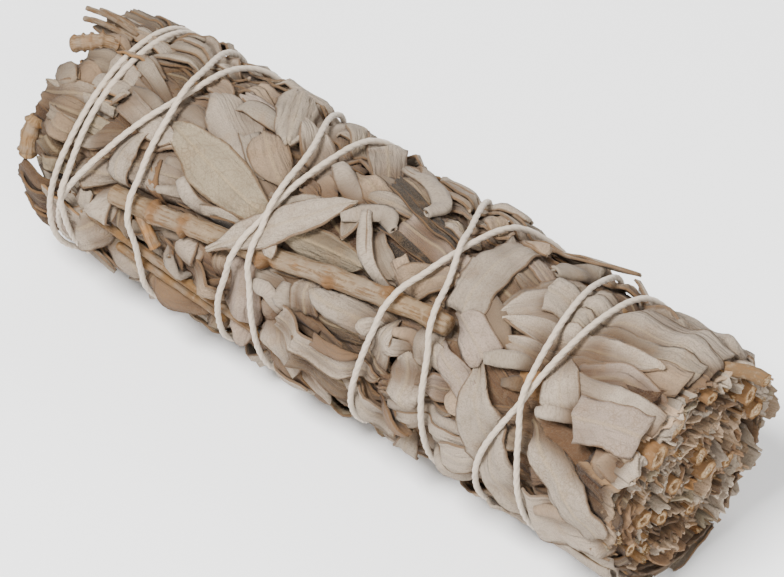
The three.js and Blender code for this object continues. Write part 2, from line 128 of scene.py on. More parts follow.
def string_stops():
    """The degrees that the string has wound at each of its stops, and x there."""
    stops = [(FIRST_DEGREES, KNOT_X - 0.7)]
    for turn, places in enumerate(STRING_TURNS):
        stops += [(turn * 360 + degrees, x) for degrees, x in zip(TURN_DEGREES, places)]
    stops.append((LAST_DEGREES, KNOT_X + 0.2))
    return np.array(stops, float).T.copy()


STOP_DEGREES, STOP_X = string_stops()


def string_x(wound):
    """x of the string after it has wound so many degrees, smoothly through its stops."""
    wound = np.asarray(wound, float)
    last = len(STOP_X) - 1
    i = np.clip(np.searchsorted(STOP_DEGREES, wound, side="right") - 1, 0, last - 1)
    before = np.maximum(i - 1, 0)
    after = np.minimum(i + 2, last)
    step = STOP_DEGREES[i + 1] - STOP_DEGREES[i]
    start = (STOP_X[i + 1] - STOP_X[before]) / (STOP_DEGREES[i + 1] - STOP_DEGREES[before])
    end = (STOP_X[after] - STOP_X[i]) / (STOP_DEGREES[after] - STOP_DEGREES[i])
    t = (wound - STOP_DEGREES[i]) / step
    weight = 2 * t ** 3 - 3 * t ** 2 + 1
    return (weight * STOP_X[i] + (t ** 3 - 2 * t ** 2 + t) * start * step
            + (1 - weight) * STOP_X[i + 1] + (t ** 3 - t ** 2) * end * step)


def smooth_path(points, t):
    """Places along a smooth curve through the points, with t from 0 to 1 as an array."""
    points = np.asarray(points, float)
    if len(points) == 2:
        return points[0] + (points[1] - points[0]) * np.asarray(t)[:, None]
    ends = np.vstack([2 * points[0] - points[1], points, 2 * points[-1] - points[-2]])
    along = np.clip(np.asarray(t, float), 0, 1) * (len(points) - 1)
    i = np.minimum(along.astype(int), len(points) - 2)
    u = (along - i)[:, None]
    a, b, c, d = ends[i], ends[i + 1], ends[i + 2], ends[i + 3]
    return 0.5 * (2 * b + (c - a) * u + (2 * a - 5 * b + 4 * c - d) * u ** 2
                  + (3 * b - a - 3 * c + d) * u ** 3)


def twig_line(stops, radius, count):
    """Points in metres along a twig whose stops are pairs of x and degrees."""
    corners = place(np.array([s[0] for s in stops]), np.array([s[1] for s in stops]), radius)
    return smooth_path(corners, np.linspace(0, 1, count))


TWIG_AXIS = twig_line(SIDE_TWIG, TWIG_RADIUS, 120) / MM


def string_lift(wound):
    """How far the string is lifted off the leaves, where it crosses itself or the twig."""
    wound = np.asarray(wound, float)
    x = string_x(wound)
    lift = np.zeros_like(x)
    for turns in range(1, 10):
        below = wound - 360 * turns
        under = (wound > RETURN_DEGREES) & (below > FIRST_DEGREES) & (below < RETURN_DEGREES)
        fade = smoothstep(RETURN_DEGREES - below, 0, 90)
        over = fade * OVER_LIFT * hill(x - string_x(below), OVER_REACH)
        lift = np.where(under, np.maximum(lift, over), lift)
    spots = place(x, wound, TWIG_RADIUS) / MM
    apart = np.linalg.norm(spots[:, None, :] - TWIG_AXIS[None, :, :], axis=2).min(axis=1)
    return np.maximum(lift, TWIG_LIFT * hill(np.maximum(apart - 0.8, 0), TWIG_REACH))


def string_radius(wound):
    """Distance from the axis to the middle of the string."""
    pinch = TIP_PINCH * smoothstep(-string_x(wound), 40, 48)
    return STRING_RADIUS - pinch + string_lift(wound)


# Chart of the bunch's outside: how high the leaves lie so far, and how far out they may reach

CHART_LOW_X = -60.0
CHART_STEP_X = 0.5
CHART_STEP_DEGREES = 1.5
CHART_SHAPE = (236, 240)


class Chart:
    """How high the leaves lie, on a grid of cells over the bunch's outside."""

    def __init__(self):
        self.heights = np.zeros(CHART_SHAPE)

    @staticmethod
    def sample(values, x, degrees):
        """Values of the chart at places, read between its cells."""
        row = np.clip((x - CHART_LOW_X) / CHART_STEP_X, 0, CHART_SHAPE[0] - 1.001)
        column = np.mod(degrees, 360) / CHART_STEP_DEGREES
        i = row.astype(int)
        j = column.astype(int) % CHART_SHAPE[1]
        u = row - i
        v = column - column.astype(int)
        after = (j + 1) % CHART_SHAPE[1]
        low = values[i, j] * (1 - v) + values[i, after] * v
        high = values[i + 1, j] * (1 - v) + values[i + 1, after] * v
        return low * (1 - u) + high * u

    def raise_to(self, x, degrees, heights):
        """Raises the cells nearest to places up to the heights given for them."""
        row = np.clip(np.rint((x - CHART_LOW_X) / CHART_STEP_X), 0, CHART_SHAPE[0] - 1)
        column = np.rint(np.mod(degrees, 360) / CHART_STEP_DEGREES) % CHART_SHAPE[1]
        cells = (row.astype(int), column.astype(int))
        np.maximum.at(self.heights, cells, heights)


def shifted(values, rows, columns):
    """The chart moved by whole cells: round the bunch it wraps, at its ends it stops."""
    moved = np.roll(values, columns, axis=1)
    if rows > 0:
        moved = np.vstack([np.repeat(moved[:1], rows, axis=0), moved[:-rows]])
    if rows < 0:
        moved = np.vstack([moved[-rows:], np.repeat(moved[-1:], -rows, axis=0)])
    return moved


def widened(values, cells):
    """Each cell takes the highest value within so many cells of it."""
    best = values
    for step in range(1, cells + 1):
        best = np.maximum(best, np.maximum(shifted(values, step, 0), shifted(values, -step, 0)))
    rows = best
    for step in range(1, cells + 1):
        best = np.maximum(best, np.maximum(shifted(rows, 0, step), shifted(rows, 0, -step)))
    return best


def softened(values, cells):
    """Each cell takes the mean of what is round it, over about so many cells."""
    offsets = range(-2 * cells, 2 * cells + 1)
    weights = [math.exp(-((step / cells) ** 2)) for step in offsets]
    total = sum(weights)
    for along in (True, False):
        result = np.zeros_like(values)
        for step, weight in zip(offsets, weights):
            moved = shifted(values, step, 0) if along else shifted(values, 0, step)
            result += moved * weight / total
        values = result
    return values


def chart_places():
    """x and degrees of every cell."""
    x = CHART_LOW_X + CHART_STEP_X * np.arange(CHART_SHAPE[0])
    degrees = CHART_STEP_DEGREES * np.arange(CHART_SHAPE[1])
    return np.meshgrid(x, degrees, indexing="ij")


STRING_SINK = 0.62  # how far the leaves stay below the middle of the string
STRING_VALLEY = 1.25
# Room under the twigs: the twig, its distance from the axis, how far the leaves stay below its
# middle, and how wide the room is
TWIG_ROOMS = [
    (SIDE_TWIG, TWIG_RADIUS, 1.9, 2.3),
    (SIDE_SHOOT, TWIG_RADIUS, 1.3, 1.5),
    (LOW_TWIGS[0], LOW_TWIG_RADIUS, 1.0, 1.4),
    (LOW_TWIGS[1], LOW_TWIG_RADIUS, 1.0, 1.4),
]
STANDING_OUT = 0.3  # how far the highest leaves stand out
TIP_ROUNDING = 2.6
CUT_ROUNDING = 0.5
HOLLOW_PLACE = (18, -50)  # where the bunch is pressed in
HOLLOW_DEPTH = 1.3


def outer_radius():
    """How far out the leaves reach: pressed by string and twigs, and by the string alone."""
    x, degrees = chart_places()
    aside = np.mod(degrees - HOLLOW_PLACE[1] + 180, 360) - 180
    reach = (BUNCH_RADIUS + STANDING_OUT - TIP_ROUNDING * smoothstep(-x, 48, 58)
             - CUT_ROUNDING * smoothstep(x, 45, 52))
    reach -= HOLLOW_DEPTH * hill(x - HOLLOW_PLACE[0], 5) * hill(aside, 16)
    wound = np.arange(FIRST_DEGREES, LAST_DEGREES, 1.5)
    string = (string_x(wound), wound, string_radius(wound) - STRING_SINK, STRING_VALLEY)
    under_string = pressed_along([string], reach)
    tracks = []
    for stops, radius, sink, wide in TWIG_ROOMS:
        path = smooth_path(stops, np.linspace(0, 1, 160))
        tracks.append((path[:, 0], path[:, 1], np.full(160, radius - sink), wide))
    return np.minimum(pressed_along(tracks, reach), under_string), under_string


def pressed_along(tracks, reach):
    """The reach, held down along tracks given as x, degrees, radius and width."""
    x, degrees = chart_places()
    limit = reach.copy()
    for track_x, track_degrees, track_radius, wide in tracks:
        for at_x, at_degrees, at_radius in zip(track_x, track_degrees, track_radius):
            i = int(round((at_x - CHART_LOW_X) / CHART_STEP_X))
            rows = np.arange(max(i - 8, 0), min(i + 9, CHART_SHAPE[0]))
            j = int(round((at_degrees % 360) / CHART_STEP_DEGREES))
            columns = np.arange(j - 9, j + 10) % CHART_SHAPE[1]
            cells = np.ix_(rows, columns)
            away = np.mod(degrees[cells] - at_degrees + 180, 360) - 180
            distance = np.hypot(x[cells] - at_x, away * ARC)
            depth = np.maximum(reach[cells] - at_radius, 0)
            floor = reach[cells] - depth * hill(np.maximum(distance - 0.35, 0), wide)
            limit[cells] = np.minimum(limit[cells], floor)
    return limit


# Leaves: form, tone, width, then places along the middle of the leaf, as x and degrees. They
# are laid in this order, so a later leaf lies over an earlier one.

LEAVES = [
    # Tip end, on top
    ("lance", "grey", 6.5, -47, -62, -31, -57),
    ("lance", "grey", 5.5, -52, -10, -33, -17),
    ("lance", "grey", 4, -54, -21, -36, -26),
    ("lance", "light", 7, -50, -38, -33, -30),
    ("strip", "grey", 2.6, -55.5, -28, -42, -33),
    ("strip", "tan", 2.2, -56, -14, -45, -17),
    ("strip", "grey", 2.4, -55, -36, -44, -40),
    ("blunt", "grey", 5, -51.5, 17, -43, 7),
    ("strip", "grey", 2.4, -55.6, -8, -46, -7),
    ("fold", "tan", 2.6, -54, -2, -47, -1),
    ("strip", "tan", 2.2, -53, -16, -47, -17),
    ("fold", "tan", 3.6, -54, 21, -46, 24.5),
    ("strip", "grey", 1.8, -46, -4, -40, 4),
    ("strip", "grey", 2.2, -45.5, 2, -36, 14),
    ("strip", "light", 2.5, -44, 14, -31, 19),
    ("roll", "grey", 2.8, -43.5, 18, -34, 22),
    ("blunt", "light", 4, -42.5, 24, -32, 30),
    ("fold", "grey", 3.4, -55.4, 24, -50, 27),
    ("strip", "pink", 2, -47, 29, -42.5, 22),
    ("blunt", "light", 3.6, -54.6, 40, -48, 31, -42, 22),
    # Tip end, on the side
    ("strip", "tan", 2.6, -54.6, 45, -47.5, 40),
    ("lance", "tan", 4, -51, 44, -43, 40),
    ("strip", "brown", 2.0, -54.4, 50, -47, 54),
    ("strip", "grey", 2.2, -52.5, 56, -45.5, 57),
    ("strip", "grey", 2.2, -51.5, 47, -44, 49),
    ("blunt", "tan", 3.4, -49, 51, -42.5, 56.5),
    ("lance", "light", 5, -46, 51, -40, 35.5),
    ("blunt", "brown", 6, -55, 88, -46, 95),
    ("blunt", "brown", 5, -53.5, 98, -46, 103.5),
    ("blunt", "tan", 5, -52, 112, -41, 119),
    ("blunt", "grey", 5, -48, 104, -38, 121),
    ("blunt", "brown", 6.5, -54.5, 116, -43, 128),
    ("lance", "tan", 6, -53, 134, -38, 138),
    ("strip", "dark", 3, -50, 72, -45, 79),
    ("strip", "green", 3, -51, 60, -45, 70),
    ("fold", "green", 2.8, -50.5, 69, -45.5, 69.5),
    ("fan", "dusk", 5, -38.5, 71, -35, 85.5),
    ("lance", "light", 7, -37, 86, -46, 110),
    ("lance", "light", 5, -44, 68.5, -37.5, 55.5),
    ("roll", "light", 2.4, -43, 75.5, -42, 92),
    ("strip", "grey", 2, -41.5, 72, -40.5, 90),
    ("fold", "light", 3.6, -40, 70, -37.5, 84.5),
    ("lance", "light", 3.9, -36.5, 29, -38.2, 47, -36.2, 66),
    # Between the tip end and the middle, on top
    ("blunt", "tan", 3.5, -36, -12, -30.5, -3.5),
    ("lance", "light", 6.5, -33, -57, -17, -53),
    ("lance", "light", 7.5, -34, -5.5, -20.5, 23),
    ("strip", "grey", 3, -24, 8, -18, 23),
    ("lance", "tan", 6, -23.5, 0.5, -15.5, 20.5),
    ("fold", "tan", 3.5, -31, -19.5, -26, -27),
    ("blunt", "tan", 2.6, -30, -16, -25, -12),
    ("strip", "pink", 2.5, -29, -8, -22, -9),
    ("lance", "grey", 3.2, -27, -2, -20, -7),
    ("lance", "grey", 6, -27, -45, -18.5, 3),
    ("lance", "light", 5, -22, -20.5, -9, 5.5),
    ("lance", "grey", 5, -18.5, -48, -9.5, -19),
    ("blunt", "light", 6, -12.5, -45, -3.5, -8),
    ("roll", "light", 3.4, -12, -5, -7, 3, -3, -3),
    ("fold", "tan", 3, -12.5, 2, -8, 14),
    ("strip", "brown", 2, -14, 10, -10, 15),
    ("strip", "brown", 1.8, -13, 15, -9, 20),
    ("strip", "straw", 2.4, -33.5, 41.5, -30.5, 60.5),
    ("roll", "grey", 2, -32, 38, -28.5, 37, -27.5, 46, -31, 52),
    ("roll", "light", 2.8, -28, 42, -24, 50, -18, 43),
    ("strip", "grey", 1.6, -24, 50, -17, 44),
    ("strip", "dark", 1.6, -22, 52, -16, 47),
    ("blunt", "grey", 4, -13, 28, -5.5, 17.5),
    ("lance", "green", 7.4, -36, 20.5, -12.5, 38.5),
    ("lance", "green", 5, -14, 40.5, 2, 33),
    # Between the tip end and the middle, on the side
    ("lance", "brown", 5, -32, 104, -20, 110),
    ("lance", "brown", 4, -30.5, 94, -18, 102),
    ("lance", "light", 4.2, -26.5, 99.5, -17.5, 96),
    ("lance", "tan", 5, -24, 78, -17.5, 90.5),
    ("blunt", "light", 4, -32, 85.5, -26.5, 79),
    ("fold", "light", 3.8, -28, 79.5, -26, 95.5),
    ("roll", "light", 2.4, -26.6, 81, -24.5, 96),
    ("roll", "light", 1.5, -28.3, 78.5, -27.8, 90),
    ("fold", "light", 4.2, -24, 65.5, -23.5, 80.5),
    ("strip", "tan", 2.4, -19, 62, -18.5, 78),
    ("blunt", "pink", 5.5, -14.5, 61, -15.5, 115),
    ("strip", "dark", 3, -10, 94, -9, 108),
    ("lance", "light", 6, -8, 85.5, -5, 112),
    ("fold", "tan", 3, -12, 81.5, -7.5, 76),
    ("strip", "grey", 2, -13, 60, -7, 56),
    ("strip", "grey", 2, -13, 64, -7, 62),
    ("roll", "light", 2.2, -13, 70, -10, 67.5, -7.5, 76.5),
    ("roll", "light", 2.2, -8, 60, -6.8, 70, -1.5, 76.5),
    ("fan", "light", 4.6, -5.5, 55, -4, 70),
    # Middle, on top
    ("lance", "grey", 5, -8, -14, 8, -4),
    ("lance", "tan", 4, -9, -6, 3, 3),
    ("lance", "tan", 3.2, -3.5, -19, 2.5, -12),
    ("lance", "grey", 3.2, -3.5, 3, 4.5, -2),
    ("blunt", "pink", 4.4, 2, 5, 14, 8),
    ("lance", "light", 6.5, -5, -50, 17, -46),
    ("blunt", "grey", 6, 5, -57, 24, -53),
    ("strip", "dark", 1.5, -3.5, -13, 4, -6.5, 11.5, -0.5),
    ("strip", "dark", 1.3, -3, -7.5, 4, -1.5, 11, 3.5),
    ("strip", "dark", 1.4, -0.5, 11.5, 5.5, 14.5, 11, 16),
    ("strip", "dark", 1.4, -0.5, 17, 5.5, 20, 10.5, 21),
    ("blunt", "light", 3.4, 7.5, -10, 12, -9),
    ("strip", "light", 2.2, 2, -17, 6, -22, 13, -20),
    ("roll", "light", 2.8, -5, -27, 0, -22, 4, -14, 4, -3),
    ("blunt", "tan", 3.2, 2, -30.5, 6.5, -24.5),
    ("lance", "tan", 4, 10, -28, 14.5, -18.5),
    ("lance", "grey", 3, -4, 10, -3, 29),
    ("blunt", "grey", 3.4, 1, 20, 6, 31),
    ("strip", "tan", 2.6, 5.5, 23, 9.5, 33.5),
    ("roll", "light", 2.6, -5, 20, -1, 7.5, 2, 12.5),
    ("roll", "light", 1.9, -2.5, 12, -1, 20, 2, 31, 5, 36, 8, 35),
    ("blunt", "tan", 5, 8.5, 29, 13.5, 13.5),
    ("blunt", "light", 6.3, 17.3, 28, 17.5, -28),
    ("fold", "tan", 3.6, 14.5, -32, 20, -21.5),
    ("blunt", "light", 5.5, -2, -60, 11, -54),
    ("lance", "tan", 5.5, 20, -60, 33, -55),
    # Middle, on the side
    ("blunt", "dusk", 6, -5, 90, 9, 101),
    ("lance", "light", 6, 5.5, 95, 12.5, 111),
    ("blunt", "light", 4.6, -7.5, 76, 0, 84, 9.5, 80),
    ("lance", "green", 4, -3, 68, 8, 61.5),
    ("strip", "grey", 2.6, 0, 46, 9.5, 50.5),
    ("strip", "brown", 2, -1, 76, 6, 74),
    ("lens", "light", 4.4, -4, 56.5, 9.5, 53.5),
    ("fold", "light", 2.8, 5, 65, 8, 52),
    ("fan", "light", 4, 9, 54, 8.5, 71.5),
    ("lance", "tan", 3, 10.5, 84, 16, 75.5),
    ("strip", "grey", 2.6, 11, 85, 22, 74),
    ("roll", "light", 2.4, 12, 88, 26, 76),
    ("strip", "light", 2.8, 14, 92, 28, 83.5),
    ("lance", "light", 6, 19, 95.5, 30.5, 89.5),
    ("fold", "brown", 2.4, 10, 90, 16, 97.5),
    ("blunt", "light", 2.8, 11, 58.5, 14, 57),
    ("roll", "tan", 1.6, 10, 52, 12.5, 50, 15, 57.5),
    ("lance", "light", 5.4, 14.6, 79, 13, 57),
    ("strip", "grey", 1.8, 16, 60, 17, 74),
    ("blunt", "light", 4, 14, 45, 16.2, 61),
    ("lance", "light", 3.2, 16, 50, 19.5, 58.5),
    ("fan", "pink", 4.2, 17, 68.5, 22.5, 60.5),
    ("fold", "tan", 3.2, 21, 60, 24, 69),
    ("lance", "pink", 3.8, 16, 45.5, 27.5, 65),
    # Cut end, on top
    ("lance", "light", 7, 21, 27, 29, -27),
    ("lance", "light", 6, 21.5, 26, 31, -16),
    ("roll", "grey", 4.4, 24, -48, 23, -15),
    ("blunt", "light", 7, 29, -63, 47, -57),
    ("blunt", "light", 7, 33, -50, 50, -38),
    ("lance", "grey", 5, 31, -36, 49, -28),
    ("blunt", "light", 6.5, 28, -12, 38, -22, 50.5, -27),
    ("blunt", "light", 6.5, 25, -2, 37, -12, 50.5, -15),
    ("blunt", "grey", 5, 30, 3, 50, -6),
    ("blunt", "tan", 4.6, 38, 8, 50, 3),
    ("lens", "light", 5.2, 23, 22, 33, 12, 45.5, 4),
    ("lance", "light", 4.6, 22, 30, 43, 13),
    ("blunt", "pink", 3.9, 36, 26, 42, 16, 49.8, 20),
    # Cut end, on the side
    ("fan", "pink", 5.6, 16, 27.5, 24, 41.5),
    ("roll", "grey", 2.2, 24, 41, 30.5, 30.5),
    ("roll", "grey", 2.2, 27, 47, 33.5, 37),
    ("lance", "tan", 5, 33, 33, 48, 27),
    ("fold", "light", 3, 40, 31, 49, 33),
    ("blunt", "light", 4.2, 36, 31, 50, 26),
    ("fan", "light", 5.2, 33.5, 24, 37.5, 46),
    ("roll", "light", 1.7, 34, 49.5, 39.5, 43.5),
    ("blunt", "pink", 6.5, 39, 43, 50, 35),
    ("blunt", "light", 6, 37, 106, 50, 111),
    ("roll", "light", 3.4, 36, 114, 50.5, 116),
    ("blunt", "light", 8.5, 36, 103.5, 50.8, 85.5),
    ("blunt", "tan", 4.8, 48, 54, 48.3, 78),
    ("roll", "dusk", 2.8, 44.5, 72, 50.5, 83),
    ("lance", "grey", 2.8, 38.5, 60, 44.5, 70),
    ("fold", "tan", 4.8, 33.5, 49.5, 46, 67),
    ("fold", "tan", 3.8, 43.5, 49.5, 48, 58.5),
    ("strip", "tan", 2.4, 35, 85.5, 38.5, 76.5),
    ("fold", "light", 3.2, 37.5, 82, 44, 80),
    ("roll", "tan", 1.7, 37.5, 95.5, 44.5, 84.5),
    ("lance", "light", 5, 31.5, 55.5, 41, 74, 47.5, 91),
    ("lance", "light", 6.8, 22.8, 41, 28, 76, 34.2, 113),
]

# Leaves that cross over the side twig
BRIDGE_LEAVES = [
    ("blunt", "light", 2.4, -12.5, 42, -10.2, 51),
    ("lance", "light", 5.4, -20.5, 64.5, -14.5, 46, -9, 28, -4.5, 11),
]

# A leaf that stands off the top: x, degrees and distance from the axis along its middle
LOOSE_LEAF = ("fold", "grey", 3.6, 17, -44, 23, -48, 29.4, -50)
LOOSE_RADIUS = (16.0, 17.5, 18.9)

# Places where the photograph shows deep gaps between the leaves: x, degrees and reach
GAPS = [
    (-33, 51, 4.0), (-28.5, 47, 3.4), (-41, 63, 3.0), (9, -15.5, 2.6), (-40.5, -22, 1.8),
    (-6, 41, 2.6), (-47, 76, 3.4), (-31, 90, 3.0), (30, 45, 2.6), (4, 79, 1.8), (19, 71, 2.0),
    (-12, 96, 2.4), (37, 60, 2.2), (46, 66, 2.6), (0, 30, 2.0), (-19, 52, 2.2),
]

# Tones of the leaves
TONES = {
    "light": "#948676",
    "grey": "#887b6b",
    "green": "#827560",
    "pink": "#8f7e70",
    "tan": "#8a755f",
    "straw": "#7c5934",
    "brown": "#624b36",
    # painted shade: a darker tone for leaves that lie in shadow
    "dusk": "#655443",
    # dark: the strips' own dark brown-grey, with painted shade in it as well
    "dark": "#2a231c",
}

LAYER_GAP = 0.5  # how much each leaf adds over the ones below it
NEAR_LEAF_STEP = 0.75  # size of the facets of a leaf that shows
INNER_LEAF_STEP = 1.6
BRIDGE_LEAF_STEP = 0.7
CUT_EDGE = 48.6  # beyond this x the leaves are cut off square
TIP_EDGE = -54.6  # beyond this x they are bent short
# painted shade: the tint that leaves and cut leaves take on where they lie deep
SHADE = np.array((0.28, 0.2, 0.145))  # tint of what lies deep between the leaves


def width_share(t, base, tip):
    """Width along a leaf, as a share of its greatest width."""
    share = np.ones_like(t)
    if base == "stalk":
        share *= 0.16 + 0.84 * smoothstep(t, 0.0, 0.42)
    if base == "point":
        share *= np.sin(0.5 * np.pi * np.clip(t / 0.5, 0.02, 1)) ** 0.75
    if tip == "point":
        share *= (1 - np.clip((t - 0.45) / 0.56, 0, 1) ** 2.3) ** 0.8
    if tip == "round":
        share *= (1 - np.clip((t - 0.5) / 0.51, 0, 1) ** 3) ** 0.6
    if base == "narrow":
        share *= 0.5 + 0.5 * smoothstep(t, 0.0, 0.3)
    if tip == "narrow":
        share *= 0.3 + 0.7 * smoothstep(1 - t, 0.0, 0.4)
    return share


def held_back(value, edge, share):
    """Values past the edge go only a share of the way beyond it."""
    return np.where(value > edge, edge + (value - edge) * share, value)


FORM_ENDS = {  # how each form of leaf begins and ends
    "lance": ("stalk", "point"),
    "blunt": ("torn", "round"),
    "fan": ("stalk", "torn"),
    "lens": ("point", "point"),
    "strip": ("torn", "point"),
    "fold": ("stalk", "point"),
    "roll": ("narrow", "narrow"),
}
TIP_BROWNING = np.array((0.36, 0.41, 0.47))  # the leaves are drier towards the tip end
TUCKED_LENGTH = 9  # leaves that show less than this go on under their neighbours


def wavy(rng, t, waves, size):
    """A smooth random line along t with about so many waves."""
    value = np.zeros_like(t)
    for k in range(3):
        turns = waves * (0.6 + 0.8 * rng.random()) * (k + 1) * 0.7
        value += np.sin(2 * np.pi * (turns * t + rng.random())) / (k + 1)
    return value * size / 1.8


def leaf_section(form, side, width, rng):
    """Across offset and lift, both in millimetres, of each point across a leaf."""
    half = width / 2
    if form == "roll":
        turned = rng.choice([-1, 1])
        angle = turned * rng.uniform(0.2, 0.75) * math.pi
        angle = angle + side * math.pi * rng.uniform(0.85, 1.25)
        reach = half * (1 - 0.17 * (side * turned + 1))
        return reach * np.sin(angle), reach * rng.uniform(0.26, 0.44) * (1 + np.cos(angle))
    if form == "fold":
        crease = 0.14
        top = side > 0
        share = np.clip((np.abs(side) - crease) / (1 - crease), 0, 1)
        across = half * (1 - 2 * share * np.where(top, rng.uniform(0.72, 0.95), 1.0))
        bend = np.clip(side / crease, -1, 1) * math.pi / 2
        depth = rng.uniform(0.8, 1.3)
        across = across + np.where(np.abs(side) < crease, 0.4 * np.cos(bend), 0)
        opened = rng.uniform(-0.45, 0.5) * share * top
        lift = depth * (0.5 + 0.5 * np.sin(bend)) * (1 + opened)
        return across * (1 if rng.random() < 0.5 else -1), lift
    size = min(width / 5.5, 1.25)
    kind = rng.random()
    if kind < 0.3:
        lift = rng.uniform(0.15, 0.55) * size * (1 - side ** 2)
    elif kind < 0.6:
        lift = rng.uniform(0.3, 0.9) * size * (0.4 * side ** 2 + 0.6 * side ** 4)
    elif kind < 0.8:
        lift = rng.uniform(0.3, 0.8) * size * (1 - np.abs(side))
    else:
        crease = rng.uniform(-0.5, 0.5)
        lift = rng.uniform(0.4, 1.0) * size * np.abs(side - crease)
    margin = [rng.uniform(-0.5, 1.2) * (rng.random() < 0.55) for _ in range(2)]
    curled = np.where(side < 0, margin[0], margin[1])
    lift = lift + curled * size * np.clip((np.abs(side) - 0.62) / 0.38, 0, 1) ** 2
    pleated = rng.uniform(-0.2, 0.2) if rng.random() < 0.6 else rng.uniform(0.3, 0.5)
    pleat = pleated * np.sin(side * rng.uniform(5, 10) + rng.uniform(0, 6))
    narrowed = 1 - 0.1 * np.abs(curled) * np.abs(side) ** 4
    return half * side * narrowed, lift + pleat * size


def facet_counts(form, length, width, step):
    """How many facets a leaf has along it and across it."""
    along = int(np.clip(round(length / step), 7, 34))
    across = int(np.clip(round(width / step), 4, 12))
    if form in ("roll", "fold"):
        across = int(np.clip(round(2.4 * width / step), 10, 18))
    if step > NEAR_LEAF_STEP:
        across = max(across, 5)
    return along, across


class Leaf:
    """One leaf: its facets' places on the chart, its heights there and its tone."""

    def __init__(self, spec, rng, step):
        form, tone, width = spec[:3]
        stops = np.array(spec[3:], float).reshape(-1, 2) * (1, ARC)
        length = np.linalg.norm(np.diff(stops, axis=0), axis=1).sum()
        tucked = form in ("lance", "blunt", "fan") and length < TUCKED_LENGTH
        if tucked:
            stops[0] -= 0.35 * (stops[1] - stops[0])
            length = np.linalg.norm(np.diff(stops, axis=0), axis=1).sum()
        along_count, across_count = facet_counts(form, length, width, step)
        self.shape = (along_count + 1, across_count + 1)
        t = np.linspace(0, 1, along_count + 1)
        side = np.linspace(-1, 1, across_count + 1)
        base, tip = FORM_ENDS[form]
        if stops[0, 0] > 46:
            base = "torn"
        if stops[-1, 0] > 46:
            tip = "torn"
        middle = smooth_path(stops, t)
        if len(stops) == 2:
            bow = rng.uniform(-0.05, 0.05) * length
            direction = (stops[1] - stops[0]) / max(length, 0.1)
            middle += np.outer(bow * np.sin(np.pi * t), (direction[1], -direction[0]))
        tangent = np.gradient(middle, axis=0)
        tangent /= np.linalg.norm(tangent, axis=1)[:, None]
        across = np.stack([tangent[:, 1], -tangent[:, 0]], axis=1)
        offset, lift = leaf_section(form, side, width, rng)
        share = width_share(t, base, tip)
        left = 1 + wavy(rng, t, length / 9, 0.09) + wavy(rng, t, length / 2.6, 0.03)
        right = 1 + wavy(rng, t, length / 9, 0.09) + wavy(rng, t, length / 2.6, 0.03)
        edge = np.where(side[None, :] < 0, left[:, None], right[:, None])
        spread = share[:, None] * (1 + (edge - 1) * np.abs(side)[None, :])
        ragged = rng.uniform(0.25, 0.7) if tip == "torn" else 0.15
        end = wavy(rng, side, 0.8, ragged) + wavy(rng, side, 2.4, 0.3 * ragged)
        if tip == "torn":
            end = end - rng.uniform(0.3, 0.9) * side ** 4
        start = wavy(rng, side, 1.0, 0.5) if base == "torn" else np.zeros_like(side)
        shift = (smoothstep(t, 0.6, 1)[:, None] * end[None, :]
                 - smoothstep(1 - t, 0.6, 1)[:, None] * start[None, :])
        spots = (middle[:, None, :] + across[:, None, :] * (offset * spread)[:, :, None]
                 + tangent[:, None, :] * shift[:, :, None])
        edge_x = CUT_EDGE + rng.uniform(-0.6, 0.9)
        self.x = held_back(spots[:, :, 0], edge_x, 0.22)
        self.x = -held_back(-self.x, -TIP_EDGE, 0.5)
        self.degrees = spots[:, :, 1] / ARC
        ripple = wavy(rng, t, length / 8, 0.22)[:, None] * side[None, :] ** 2
        ripple = ripple + wavy(rng, t, length / 11, 0.16)[:, None] * np.sign(side) * side ** 2
        twist = rng.uniform(-0.5, 0.5) * (t - 0.5)[:, None] * side[None, :]
        if form == "strip":
            twist = twist * 2.5
        sized = share if form == "fold" else share ** 0.5
        self.lift = lift[None, :] * (0.25 + 0.75 * sized)[:, None] + ripple + twist
        if tip in ("point", "round") and form != "roll":
            self.lift += rng.uniform(-0.3, 0.7) * smoothstep(t, 0.7, 1)[:, None]
        sunk = base == "stalk" or tucked
        self.sink = (1.6 if sunk else 0) * smoothstep(1 - t, 0.72, 1)[:, None]
        self.heights = self.lift  # until it is laid on the others
        self.across_mm = np.broadcast_to(side * width / 2, self.shape) * share[:, None]
        self.along_mm = np.broadcast_to((t * length)[:, None], self.shape)
        self.seed = rng.random()
        shown = rng.uniform(0.92, 1.16) * (0.88 if form == "roll" else 1)
        self.tone = tuple(np.array(linear(TONES[tone])) * shown)
        self.rib = rng.random() if form in ("lance", "lens", "blunt", "fan") else 0.0
        if tone == "green":
            self.rib = 1.0

    def lie_on(self, chart, gap=LAYER_GAP):
        """Lets the leaf down on what lies there, bent a little where something pushes it."""
        ground = Chart.sample(chart.heights, self.x, self.degrees) + gap
        need = ground - self.lift
        base = np.quantile(need, 0.86, axis=1)
        for _ in range(10):
            padded = np.pad(base, 1, mode="edge")
            base = np.maximum(base, 0.5 * (padded[:-2] + padded[2:]) - 0.01)
        heights = np.maximum(base[:, None] + self.lift, ground - 0.1)
        self.heights = heights - self.sink
        self.mark(chart)

    def mark(self, chart):
        """Raises the chart to the top of the leaf."""
        values = np.stack([self.x, self.degrees, self.heights])
        fine = np.repeat(np.repeat(values, 2, axis=1), 2, axis=2)[:, :-1, :-1].copy()
        fine[:, 1::2, :] = 0.5 * (fine[:, :-1:2, :] + fine[:, 2::2, :])
        fine[:, :, 1::2] = 0.5 * (fine[:, :, :-1:2] + fine[:, :, 2::2])
        chart.raise_to(fine[0].ravel(), fine[1].ravel(), fine[2].ravel())


def in_gap(x, degrees):
    """Whether a place lies in one of the deep gaps."""
    away = [math.hypot(x - gx, ((degrees - gd + 180) % 360 - 180) * ARC) < reach
            for gx, gd, reach in GAPS]
    return any(away)


